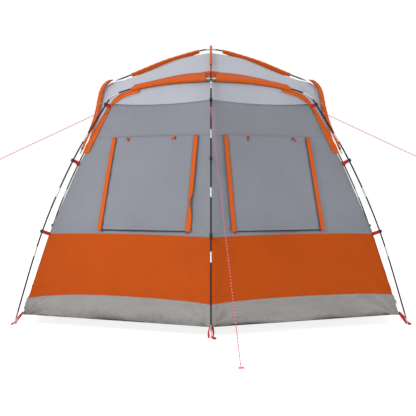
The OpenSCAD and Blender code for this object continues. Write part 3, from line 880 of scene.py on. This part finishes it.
for right in (True, False):
    for front, rod in ((True, "front_hoop_rod"), (False, "rear_hoop_rod")):
        rows = side_rows(right, lines([0, 0.04, 0.96, 1], (1, 9, 1)), 40,
                         lambda i, v: gable_point(i, v, front), not front)
        name = quarter_name(right, front)
        gable = grid(f"gable_cloth_{name}", rows, LIGHT)
        place(gable, "tent", "light_cloth", f"gable_{name}")


def eave(y):
    """Point under the roof, a little inside the brow, at distance y from the middle."""
    share = bisect(19, lambda t: roof(0.93, t).y < -abs(y))
    p = inward(roof(0.93, share), 0.010)
    return V(p.x, y, p.z)


def side_gable_point(i, v):
    base = wall_point(1, mix(0.03, 0.97, i), TOP) + V(0, 0, 0.002)
    top = eave(base.y)
    top = V(max(top.x, base.x), top.y, max(top.z, base.z + 0.004))
    p = mix(base, top, v)
    p.x -= 0.006 * sin(pi * v) * sin(pi * i) * (1 + 0.6 * wave(p.y, p.z, 0, 0.12, 55))
    return p


for name in ("right", "left"):
    rows = side_rows(name == "right", lines([0, 1], (10,)), 48, side_gable_point)
    gable = grid(f"gable_cloth_{name}", rows, LIGHT)
    place(gable, "tent", "light_cloth", f"gable_{name}")


# Coloured binding of the roof's edge, from the end of the arch sleeve past the shoulder to the corner's tip.
# One leg lies on the roof and the other hangs over the gable and the wall's corner.
def roof_leg(s, q):
    depth = 0.03 / max(0.002, (roof(s, 0.03) - roof(s, 0)).length)
    width = 0.026 + 0.035 * ease((s - 0.76) / 0.2)
    return roof_cloth(s, q * width * depth, True, True, 0.006 + 0.0012 * sin(s * 70) * q)


def front_leg(s, q):
    width = 0.026 - 0.006 * ease((s - 0.70) / 0.06) + 0.020 * ease((s - 0.78) / 0.2)
    out = V(*wall_out(0), 0)
    reach = q * width
    fold = 0.0014 * sin(s * 85 + q * 3)
    i = min(1.0, s / 0.75)
    top, base = at(roof_edge, s), gable_base(i)
    drop = max(0.004, (top - base).length)
    u = min(0.985, i)
    if reach < drop:
        hang = mix(top, base, reach / drop)
    else:
        hang = wall_point(0, u, top_seam(0, u) - (reach - drop) * 0.85)
    hang = hang + (0.006 + fold) * out
    z = min(at(roof_edge, s).z, TOP + 0.01)
    rest = (width - 0.012 if s > 0.7 else width) * q
    side = wall_point(0, 1 - max(0.001, rest) / wall_width(0, z), z, 0.009 + fold - 0.003 * q)
    side = mix(at(roof_edge, s) + 0.004 * out, side, min(1, q * 2.5))
    return mix(hang, side, ease((s - 0.69) / 0.10))


def binding_point(i, stitch, front):
    leg, q = stitch
    return placed(leg(mix(0.47, 0.992, i), q), True, front)


ACROSS = [(roof_leg, q) for q in (1, 0.66, 0.33, 0.02)]
ACROSS += [(front_leg, q) for q in (0.0, 0.15, 0.3, 0.5, 0.75, 0.93, 1)]
for right in (True, False):
    for front in (True, False):
        rows = side_rows(right, ACROSS, 56, lambda i, stitch: binding_point(i, stitch, front), not front)
        piece = grid(f"roof_binding_{quarter_name(right, front)}", rows[::-1], TRIM)
        place(piece, "tent", "orange_trim")


# ---------------------------------------------------------------- sleeves
def sleeve(name, node, route, spans, radius, tail, towards, ripple):
    """Sleeve of cloth round a pole, with a flat sewn tail that runs into the roof."""
    parts = []
    for s0, s1 in spans:
        rings = []
        count = round((s1 - s0) / 0.014)
        for k in range(count + 1):
            t = k / count
            s = mix(s0, s1, t)
            c, d = route.point(s), route.heading(s)
            g = towards(c)
            g = (g - g.dot(d) * d).normalized()
            n = d.cross(g)
            if n.dot(c - INSIDE) < 0:
                n = -n
            flip_order = d.cross(g).dot(c - INSIDE) < 0
            long = tail(s) if callable(tail) else tail * (0.75 + 0.25 * ease(min(t, 1 - t) / 0.12))
            loop = [c + long * g + 0.0018 * n, c + 0.6 * long * g + (0.0035 + ripple(s, 0)) * n]
            for m in range(13):
                a = radians(45 + 22.5 * m)
                r = radius + ripple(s, a)
                loop.append(c + r * (cos(a) * g + sin(a) * n))
            loop += [c + 0.6 * long * g - 0.0025 * n, c + long * g - 0.0010 * n]
            rings.append(loop[::-1] if flip_order else loop)
        parts.append(sweep(name, rings, TRIM, caps=False))
    piece = join(name, parts) if len(parts) > 1 else parts[0]
    thicken(piece, 0.0008, -1.0)
    place(piece, "tent", "orange_trim", node)
    girth = 2 * (tail(route.length / 2 - 0.3) if callable(tail) else tail) + 4.2 * radius
    return piece


def arch_side(c):
    """Way from the point c of an arch into the roof."""
    s = 0.75 * bisect(18, lambda t: abs(at(roof_edge[:4], t).x) < min(abs(c.x), 0.74))
    g = roof(s, 0.12) - roof(s, 0)
    return placed(g if c.y < 0 else back(g), c.x >= 0, True)


def arch_ripple(s, a):
    gathers = 0.0018 * sin(s * 95 + a * 2.2) * (0.5 + 0.5 * wave(s, 0, a * 0.05, 0.12, 70))
    return gathers + 0.0015 * wave(s, 0, 0, 0.05, 71)


def fine_ripple(s, a):
    return 0.0008 * sin(s * 120 + a) + 0.0012 * wave(s, 0, a * 0.02, 0.06, 72)


ARCH_OUT = 2.080
for route, end in ((FRONT, "front"), (REAR, "rear")):
    middle = route.length / 2
    sleeve(f"{end}_arch_sleeve_cloth", f"{end}_arch_sleeve", route,
           ((ARCH_OUT, middle - 0.035), (middle + 0.035, route.length - ARCH_OUT)), 0.0115,
           lambda s, m=middle: 0.108 - 0.040 * ease((abs(s - m) - 0.1) / 0.4), arch_side, arch_ripple)

middle = CROWN.length / 2
sleeve("crown_sleeve_cloth", "crown_sleeve", CROWN,
       ((0.135, middle - 0.095), (middle + 0.095, CROWN.length - 0.135)), 0.0105, 0.024,
       lambda c: V(0, 0, -1), fine_ripple)
middle = RIDGE.length / 2
sleeve("ridge_sleeve_cloth", "ridge_sleeve", RIDGE, ((middle - 0.6, middle + 0.6),), 0.0085, 0.020,
       lambda c: V(0, 0, -1), fine_ripple)


def brow_side(c):
    """Way from the point c of a brow into the roof."""
    share = bisect(17, lambda t: at(roof_brow, t).y < -abs(c.y))
    g = roof(0.9, share) - at(roof_brow, share)
    return placed(g if c.y <= 0 else back(g), c.x >= 0, True)


for name, route in (("right", BROW_RIGHT), ("left", BROW_LEFT)):
    sleeve(f"brow_sleeve_{name}_cloth", f"brow_sleeve_{name}", route, ((0.045, route.length - 0.045),),
           0.0085, 0.030, brow_side, fine_ripple)


# Front flap of each arch sleeve, from the pole down over the gable's top seam
def flap_point(i, v, front):
    s = mix(0.047, 0.502, i)
    top = at([front_top, flip(BOW[1]), flip(BOW[0]), V(0.715, -0.482, 1.688)], s / 0.75)
    out = V(top.x * 0.25, top.y, 0).normalized()
    low = at(roof_edge, s) + 0.009 * out - V(0, 0, 0.004)
    fold = sin(i * 46 + v * 2.6) * 0.0022 + 0.002 * wave(i, v * 0.2, 0, 0.05, 80)
    return placed(mix(top + 0.0122 * out + V(0, 0, 0.005), low, v) + fold * sin(pi * v) * out, True, front)


for front, rod in ((True, "front_hoop_rod"), (False, "rear_hoop_rod")):
    for right in (True, False):
        rows = side_rows(right, lines([0, 1], (7,)), 60, lambda i, v: flap_point(i, v, front), not front)
        flap = grid(f"arch_flap_{quarter_name(right, front)}", rows[::-1], TRIM)
        place(flap, "tent", "orange_trim")


# The arch band runs on over the ridge, and a loop below it holds the ridge pole
for front in (True, False):
    rows = []
    for v in lines([0, 1], (8,)):
        row = []
        for k in range(17):
            x = mix(-0.062, 0.062, k / 16 if front else 1 - k / 16)
            low = V(x, front_top.y - 0.002, front_top.z - 0.004 - 0.06 * abs(x))
            high = at(roof_ridge, 0.19) + V(x, 0, 0.013 - 0.10 * abs(x))
            p = mix(low, high, v) + V(0, 0, 0.004 * sin(pi * v) + 0.0015 * sin(x * 160 + v * 5))
            row.append(p if front else back(p))
        rows.append(row)
    name = "front" if front else "rear"
    bridge = grid(f"arch_bridge_{name}", rows, TRIM)
    place(bridge, "tent", "orange_trim")
    rows = []
    for k in range(13):
        s = mix(2.175, 2.105, k / 12)
        q = s if front else RIDGE.length - s
        c = RIDGE.point(q)
        out = V(0, c.y, 0).normalized()
        bulge = 0.0085 + 0.002 * sin(pi * k / 12)
        along = V(1 if front else -1, 0, 0)
        rows.append([c + bulge * out + b * along - abs(b) * 0.35 * out + V(0, 0, 0.003)
                     for b in (-0.009, -0.0045, 0, 0.0045, 0.009)])
    loop = grid(f"ridge_loop_{name}", rows[::-1], TRIM)
    place(loop, "tent", "orange_trim")
    c = at(roof_ridge, 0.105) + V(-0.004, -0.006, 0.020)
    rows = [[(c + V(a, 0, b)) if front else back(c + V(-a, 0, b)) for a in (-0.012, 0, 0.012)]
            for b in (-0.008, 0.001, 0.009)]
    tab = grid(f"arch_tab_{name}", rows, RED, thick=0.0018)
    place(tab, "tent", "red_webbing")


# ---------------------------------------------------------------- poles
ROD_RADIUS, FERRULE_LENGTH = 0.0055, 0.075


def ferrule(s):
    return (s - FERRULE_LENGTH / 2, s + FERRULE_LENGTH / 2)


def mirrored(spans, length):
    return spans + [(length - b, length - a) for a, b in spans]


CLIMBS = [0.545 + 0.465 * k for k in range(5)]
POLES = (  # rod, node, route, foot, distance of each ferrule from an end, spans of the elbows from an end
    ("ridge", "ridge_pole", RIDGE, 0.090, CLIMBS, []),
    ("front_hoop", "front_hoop_pole", FRONT, 0.090, CLIMBS[:3] + [2.320], [(1.840, 1.955)]),
    ("rear_hoop", "rear_hoop_pole", REAR, 0.090, CLIMBS[:3] + [2.320], [(1.865, 1.980)]),
    ("crown", "crown_pole", CROWN, 0.045, [0.400], []),
    ("brow_right", "brow_pole_right", BROW_RIGHT, 0.060, [0.430], []),
    ("brow_left", "brow_pole_left", BROW_LEFT, 0.060, [0.430], []),
)


def ferrule_radius(t, a):
    """A drawn tube over the rod, with a rolled lip at both ends."""
    end = min(t, 1 - t)
    return 0.0062 + (0.0005 if 0.02 < end < 0.08 else 0.0) - (0.0005 if end < 0.01 else 0.0)


silver, elbows = [], []
for name, node, route, foot, joints, bends in POLES:
    rod = tube(f"{name}_rod", route, foot * 0.5, route.length - foot * 0.5, ROD_RADIUS, BLACK)
    place(rod, "tent", "fibreglass", node)
    spans = mirrored([ferrule(s) for s in joints], route.length) + [ferrule(route.length / 2)]
    for parts, places in ((silver, spans), (elbows, mirrored(bends, route.length))):
        parts += [tube("part", route, a, b, ferrule_radius, STEEL, 0.0055) for a, b in places]
place(join("pole_ferrule_tubes", silver), "tent", "ferrule_metal", "pole_ferrules")
place(join("shoulder_elbow_tubes", elbows), "tent", "ferrule_metal", "shoulder_elbows")

CLIP_S, WIDE_CLIP_S, TAB_Z = (0.698, 1.274, 1.776), (0.703, 1.287, 1.800), (BAND, KNEE, 1.600)


def corner_point(i, s):
    route = RIDGE if i in (N, F) else FRONT if i in (L1, R1) else REAR
    return route.point(route.length - s if i in (F, R1, R2) else s)


def ribbon(points, across, width):
    """Flat webbing through points, its width laid across."""
    rows = [[c + width * b * across for b in (-0.5, -0.25, 0, 0.25, 0.5)] for c in points]
    return grid("part", rows, RED, thick=0.0016, offset=0)


tabs, straps = [], []
for i in range(6):
    side = V(-CORNER[i].y, CORNER[i].x, 0).normalized()
    out = V(*CORNER[i].normalized(), 0)
    for k in range(3):
        pole = corner_point(i, (WIDE_CLIP_S if i in (R2, L2) else CLIP_S)[k])
        c = lean(TAB_Z[k]) * CORNER[i]
        cloth_edge = V(c.x, c.y, TAB_Z[k])
        d = (pole - cloth_edge).normalized()
        start, end = cloth_edge - 0.002 * d, pole - 0.0125 * d
        across = side.cross(d)
        for shift in (-0.0016, 0.0016):
            line = [mix(start, end, t) + side * shift * sin(pi * (0.15 + 0.7 * t)) * 2
                    for t in (0, 0.25, 0.5, 0.75, 1)]
            tabs.append(ribbon(line, across, 0.025))
    foot = corner_point(i, 0.010)
    hem = lean(HEM) * CORNER[i]
    for sign in (-1, 1):
        start = V(hem.x, hem.y, HEM + 0.016) - 0.002 * out + 0.006 * sign * side
        end = V(foot.x, foot.y, 0.0085) + 0.0135 * sign * side
        line = [mix(start, end, t) + sin(pi * t) * (0.006 * sign * side + 0.003 * out)
                for t in (0, 0.2, 0.4, 0.6, 0.8, 1)]
        straps.append(ribbon(line, (side * 0.4 + V(0, 0, 0.7)).normalized(), 0.021))
place(join("clip_tab_webbing", tabs), "tent", "red_webbing", "clip_tabs")
place(join("corner_strap_webbing", straps), "tent", "red_webbing", "corner_straps")

LOOP_WAY = {N: V(0.8, -0.6, 0), L1: V(-0.45, -0.9, 0), R1: V(0.45, -0.9, 0), F: V(-0.8, 0.6, 0),
            L2: V(-0.6, 0.8, 0), R2: V(0.6, 0.8, 0)}
loops = []
for i, way in LOOP_WAY.items():
    foot = corner_point(i, 0.010)
    beside = V(-way.y, way.x, 0)
    line = [V(foot.x, foot.y, 0.0155 - 0.011 * ease(a / 0.030)) + a * way + b * beside
            for a, b in ((0.008, 0.004), (0.020, 0.007), (0.032, 0.0075), (0.041, 0.004), (0.042, 0),
                         (0.041, -0.004), (0.032, -0.0075), (0.020, -0.007), (0.008, -0.004))]
    loops.append(ribbon(line, (beside * 0.35 + V(0, 0, 0.5)).normalized(), 0.012))
place(join("peg_loop_webbing", loops), "tent", "red_webbing", "peg_loops")

for node, material in (("pole_tips", STEEL), ("pole_clips", CLIP), ("corner_rings", STEEL)):
    nodes[node].data.materials.clear()
    nodes[node].data.materials.append(material)
    for polygon in nodes[node].data.polygons:
        polygon.material_index = 0


# ---------------------------------------------------------------- windows
def across(w, z, t):
    """Share of the wall at share t from the window's inner to its outer edge."""
    return window_u(w, mix(inner_s(z), outer_s(z), t), z)


def wall_frame(w, u, z, o):
    """Point on a wall with the directions along it, up its slope and out of it."""
    p = wall_point(w, u, z, o)
    x = V(*wall_dir(w), 0)
    up = wall_point(w, 0.5, z + 0.01) - wall_point(w, 0.5, z - 0.01)
    y = (up - up.dot(x) * x).normalized()
    return p, x, y, x.cross(y)


COVER_IN = 0.036          # from the outline of the window to the side edge of its cover
ZIP_IN = 0.016            # from the outline to the zips up its sides
TOGGLE_DROP = 0.022


def window_rows(w, levels, count, inset, push):
    """Rows of points between the window's sides, set in by inset; push(t, s, z) lifts them off the wall."""
    def point(t, z):
        s = mix(inner_s(z) + inset, outer_s(z) - inset, t)
        return wall_point(w, window_u(w, s, z), z, push(t, s, z))

    return facing(w, lattice(levels, count, point))


def facing(w, rows):
    """Turns the rows of the left window round, so that the cloth's face is outside."""
    return rows if w == 0 else [row[::-1] for row in rows]


def cover_push(w, s, z):
    """Outward swell and wrinkles of a window cover; s is the distance from the near corner."""
    side = min(s - inner_s(z), outer_s(z) - s) - 0.034
    low = exp(-(z - SILL) / 0.040)
    o = 0.0055 + 0.003 * ease(side / 0.2)
    o += 0.0035 * low * sin(2 * pi * (z - SILL) / 0.034 + 2.5 * wave(s, 0, w, 0.22, 90))
    o += 0.0022 * wave(s, z, w, 0.24, 91) + 0.0010 * wave(s, z * 2.2, w, 0.08, 92)
    o -= 0.0016 * crease(s, z * 1.5, w, 0.26, 93)
    o += 0.0012 * exp(-(LINTEL - z) / 0.05) * sin(s * 88 + w)
    o += 0.0014 * exp(-side / 0.05) * sin(z * 52 + w)
    return max(0.0022, o)


STRIP_LIFT = 0.0152       # clears the zip sliders below


def strip_point(w, inner, twisted, k, z):
    """Point of the strip over a zip; k counts seven places across it."""
    t = k / 6 - 0.5
    turn = 0.10 * wave(z, w, 0, 0.14, 95)
    shift = 0.0018 * wave(z, w, 3, 0.16, 96)
    wide = 0.032
    if twisted:
        pinch = exp(-((z - 0.885) / 0.055) ** 2)
        flare = exp(-((z - 0.745) / 0.05) ** 2)
        turn += -0.95 * pinch + 0.42 * flare
        shift += 0.004 * pinch - 0.003 * flare
        wide += 0.006 * flare
    lift = 0.0125 + 0.006 * abs(sin(turn)) + t * wide * sin(turn)
    lift += 0.0012 * sin(z * 60 + w + k) * (0.3 + abs(t)) + 0.001 * wave(z, k * 0.01, w, 0.05, 97)
    s = (inner_s(z) + ZIP_IN if inner else outer_s(z) - ZIP_IN) + (t * wide * cos(turn) + shift)
    o = mix(0.0035, max(STRIP_LIFT, lift + 0.002), ease((LINTEL - z) / 0.02))
    return wall_point(w, window_u(w, s, z), z, max(0.0032, o))


for w, side in WINDOWS:
    body = f"window_cover_{side}"
    levels = lines([SILL, SILL + 0.004, SILL + 0.022, SILL + 0.12, LINTEL - 0.05, LINTEL], (1, 4, 12, 26, 6))
    rows = window_rows(w, levels, 44, COVER_IN,
                       lambda t, s, z: cover_push(w, s, z) * (0.35 + 0.65 * ease((LINTEL - z) / 0.02)))
    cover = grid(f"window_cover_{side}_cloth", rows, GREY)
    tuple(wall_point(w, 0.4, 1.338))
    tuple(wall_point(w, 0.4, 1.306))
    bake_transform(cover)
    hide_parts(body)

    # Hem rolled along the cover's bottom edge
    rings = []
    for k in range(45):
        s = mix(inner_s(SILL) + COVER_IN, outer_s(SILL) - COVER_IN, k / 44)
        p, x, y, n = wall_frame(w, window_u(w, s, SILL), SILL + 0.003, cover_push(w, s, SILL) - 0.001)
        rings.append([p + 0.0045 * cos(a) * y + 0.0016 * sin(a) * n for a in turns(8)])
    hem = sweep(f"window_hem_{side}", rings if w == 0 else rings[::-1], GREY)
    place(hem, body, "grey_cloth")

    rows = window_rows(w, lines([HOLE_LOW - 0.01, HOLE_HIGH + 0.01], (24,)), 24, EDGE - 0.012,
                       lambda t, s, z: -0.0035 - 0.003 * bow(t))
    mesh = grid(f"window_netting_{side}", rows, NET, thick=0.0004)
    place(mesh, "tent", "window_netting", f"window_mesh_{side}")

    # Dark zip tape below the cover: partly a real zip and partly a painted shadow under the cover's bottom
    # edge
    def tape_and_shadow_point(t, dz):
        s = mix(inner_s(SILL) + 0.020, outer_s(SILL) - 0.020, t)
        return wall_point(w, window_u(w, s, SILL), SILL + dz, 0.0030 if dz == -0.005 else 0.0020)

    rows = facing(w, lattice((-0.0085, -0.005, -0.0015), 40, tape_and_shadow_point))
    tape = grid(f"window_tape_and_shadow_{side}", rows, CLIP, thick=0.0008)
    place(tape, "tent", "clip_plastic")

    # Strips over the zips; one of them is twisted
    for edge in ("inner", "outer"):
        inner = edge == "inner"
        rows = [[strip_point(w, inner, inner and side == "left", k, z) for k in range(7)]
                for z in lines([SILL - 0.004, LINTEL], (56,))]
        strip = grid(f"window_strip_{side}_{edge}", facing(w, rows), TRIM, thick=0.0016)
        place(strip, "tent", "orange_trim")
        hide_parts(f"window_strips_{side}")

    # Toggles that would hold the cover rolled up, on sewn loops
    tilts = (0.30, -0.75) if side == "left" else (1.2, -0.5)
    for k, (t, tilt) in enumerate(zip((0.27, 0.80), tilts)):
        u = across(w, LINTEL, t)
        p, x, y, n = wall_frame(w, u, LINTEL - TOGGLE_DROP, 0.0105)
        bar = cos(tilt) * x + sin(tilt) * y
        rings = []
        for m in range(17):
            q = -1 + 2 * m / 16
            r = 0.0052 * (1 - abs(q) ** 6) ** 0.5 * (0.82 + 0.18 * abs(q)) + 0.0004
            side_way = n.cross(bar)
            rings.append([p + 0.019 * q * bar + r * (cos(a) * side_way + sin(a) * n) for a in turns(12)])
        toggle = sweep(f"toggle_{side}_{k}", rings, TOGGLE)
        place(toggle, "tent", "toggle_plastic", "window_toggles")
        profile = [(0.020, 0.004), (0.013, 0.0085), (0.006, 0.0150), (0.0, 0.0172), (-0.006, 0.0150),
                   (-0.0085, 0.0105), (-0.006, 0.0060), (0.0, 0.0042), (0.012, 0.0035)]
        rows = [[wall_point(w, u, LINTEL - TOGGLE_DROP, o) + a * y + b * x
                 for b in (-0.009, -0.003, 0.003, 0.009)] for a, o in profile]
        loop = grid(f"toggle_loop_{side}_{k}", rows[::-1], TRIM, thick=0.001)
        place(loop, "tent", "orange_trim")


# ---------------------------------------------------------------- sliders and their pulls
def slider(name, body, w, u, z, pull):
    """Die-cast slider with a bridge, and a pull of folded webbing; pull is its (across, down) reach."""
    p, x, y, n = wall_frame(w, u, z, 0.0015)

    def shape(outline, low, high):
        return [[p + a * x + b * y + h * n for a, b in outline] for h in (low, high)]

    plate = [(-0.0045, -0.004), (-0.0035, -0.006), (0.0035, -0.006), (0.0045, -0.004), (0.0050, 0.010),
             (0.0035, 0.0155), (0.0, 0.0165), (-0.0035, 0.0155), (-0.0050, 0.010)]
    lid = [(0.9 * a, 0.95 * b + 0.0003) for a, b in plate]
    post = [(-0.0016, 0.009), (0.0016, 0.009), (0.0016, 0.0145), (-0.0016, 0.0145)]
    parts = [sweep("part", shape(*solid), ZIP, smooth=False)
             for solid in ((plate, 0.0, 0.0022), (lid, 0.0046, 0.0066), (post, 0.0, 0.0050))]
    bridge = []
    for k in range(9):
        a = pi * k / 8
        c = p + (0.005 - 0.0045 * cos(a)) * y + (0.0060 + 0.0018 * sin(a)) * n
        bridge.append([c + sx * 0.0011 * x + sn * 0.0005 * n
                       for sx, sn in ((-1, -1), (1, -1), (1, 1), (-1, 1))])
    parts.append(sweep("part", bridge, ZIP))
    place(join(f"{name}_slider", parts), body, "zip_metal", body)
    way = pull[0] * x - pull[1] * y
    reach = way.length
    way = way.normalized()
    wide = way.cross(n).normalized()
    start = p + 0.003 * y + 0.0070 * n
    rows = []
    for k in range(9):
        t = k / 8
        c = start + t * reach * way + (0.0006 * sin(t * 7)) * n
        half = 0.0045 + 0.0040 * ease(t / 0.35)
        rows.append([c + q * half * wide for q in (-1, -0.5, 0, 0.5, 1)])
    tab = grid(f"{name}_pull", rows, RED, thick=0.0018, offset=0)
    place(tab, body, "red_webbing")


z = SILL + 0.004
for w, side in WINDOWS:
    inward_way = 1 if w == 0 else -1
    for edge, s, way in (("inner", inner_s(z) + ZIP_IN, 1), ("outer", outer_s(z) - ZIP_IN, -1)):
        slider(f"zip_{side}_{edge}", f"zip_slider_{side}_{edge}", w, window_u(w, s, z), z,
               (inward_way * way * 0.021, 0.026))


# ---------------------------------------------------------------- door
DOOR_LOW, LAP = TUB + 0.008, 0.012


def door_point(t, z):
    u = mix(DOOR_A - LAP, DOOR_B + LAP, t)
    side = min(u - DOOR_A + LAP, DOOR_B + LAP - u) * wall_width(1, z)
    p = wall_point(1, u, z)
    o = 0.0050 + 0.0035 * ease(side / 0.25) + 0.003 * wave(p.x, p.y, z, 0.3, 100)
    o += 0.0012 * wave(p.x, p.y, z, 0.09, 101) - 0.0018 * crease(p.x, p.y, z, 0.33, 102)
    o += 0.0016 * exp(-side / 0.05) * sin(z * 44)
    return wall_point(1, u, z, max(0.0022, o) * (0.35 + 0.65 * ease((DOOR + LAP - z) / 0.02)))


levels = lines([DOOR_LOW, DOOR_LOW + 0.004, BAND, KNEE, DOOR - 0.02, DOOR + LAP], (1, 18, 20, 14, 5))
door_cloth = grid("door_cloth", lattice(levels, 44, door_point), GREY)
tuple(wall_point(1, 0.5, 1.506))
tuple(wall_point(1, 0.5, 1.478))
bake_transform(door_cloth)
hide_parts("door_panel")

for k, u in enumerate((DOOR_A - 0.025, DOOR_B + 0.025)):
    rows = [[wall_point(1, u, z) + d * V(*wall_dir(1), 0) + (0.0022 if d else 0.0034) * V(*wall_out(1), 0)
             for d in (-0.006, -0.0025, 0, 0.0025, 0.006)] for z in lines([TUB + 0.004, DOOR], (60,))]
    tape = grid(f"door_tape_{k}", rows, CLIP, thick=0.0008)
    place(tape, "tent", "clip_plastic")
slider("door_zip", "door_slider", 1, DOOR_A - 0.025, TUB + 0.024, (0.0, 0.030))


# ---------------------------------------------------------------- stage and light
def plain(name, color, rough):
    s = Shader(name, rough, specular=0.0)
    s.shader.inputs["Emission Color"].default_value = (1, 1, 1, 1)
    s.shader.inputs["Emission Strength"].default_value = 0.8
    fleck = s.noise(s.place(), 3.0, 3.0)
    return s.finish(s.ramp(fleck, [(0.3, tone(color, 0.995)), (0.7, tone(color, 1.0))]))


stage = [V(x, y, -0.001) for x, y in ((-60, -30), (60, -30), (60, 60), (-60, 60))]
floor = link("floor", stage, [(0, 1, 2, 3)], plain("studio_floor", srgb(190, 190, 190), 0.95), smooth=False)

SKY_LIGHT = 0.72          # the sky lights less than it shows, so the key can model the folds
world = bpy.data.worlds.new("studio")
world.use_nodes = True
tree = world.node_tree
sky, backdrop, ray, swap = tree.nodes["Background"], *(
    tree.nodes.new(f"ShaderNode{kind}") for kind in ("Background", "LightPath", "MixShader"))
for node, strength in ((sky, SKY_LIGHT), (backdrop, 1.0)):
    node.inputs["Color"].default_value = (1, 1, 1, 1)
    node.inputs["Strength"].default_value = strength
for a, b in ((ray.outputs["Is Camera Ray"], swap.inputs[0]), (sky.outputs[0], swap.inputs[1]),
             (backdrop.outputs[0], swap.inputs[2]), (swap.outputs[0], tree.nodes["World Output"].inputs[0])):
    tree.links.new(a, b)
bpy.context.scene.world = world


light = bpy.data.lights.new("key", "AREA")
light.shape = "DISK"
light.size = 4.0
light.energy = 250
light.color = (1.0, 0.995, 0.985)
key = bpy.data.objects.new("key", light)
key.location = (-5.5, -6.5, 6.0)
key.rotation_euler = (V(0, 0, 1.0) - key.location).to_track_quat("-Z", "Y").to_euler()
bpy.context.scene.collection.objects.link(key)
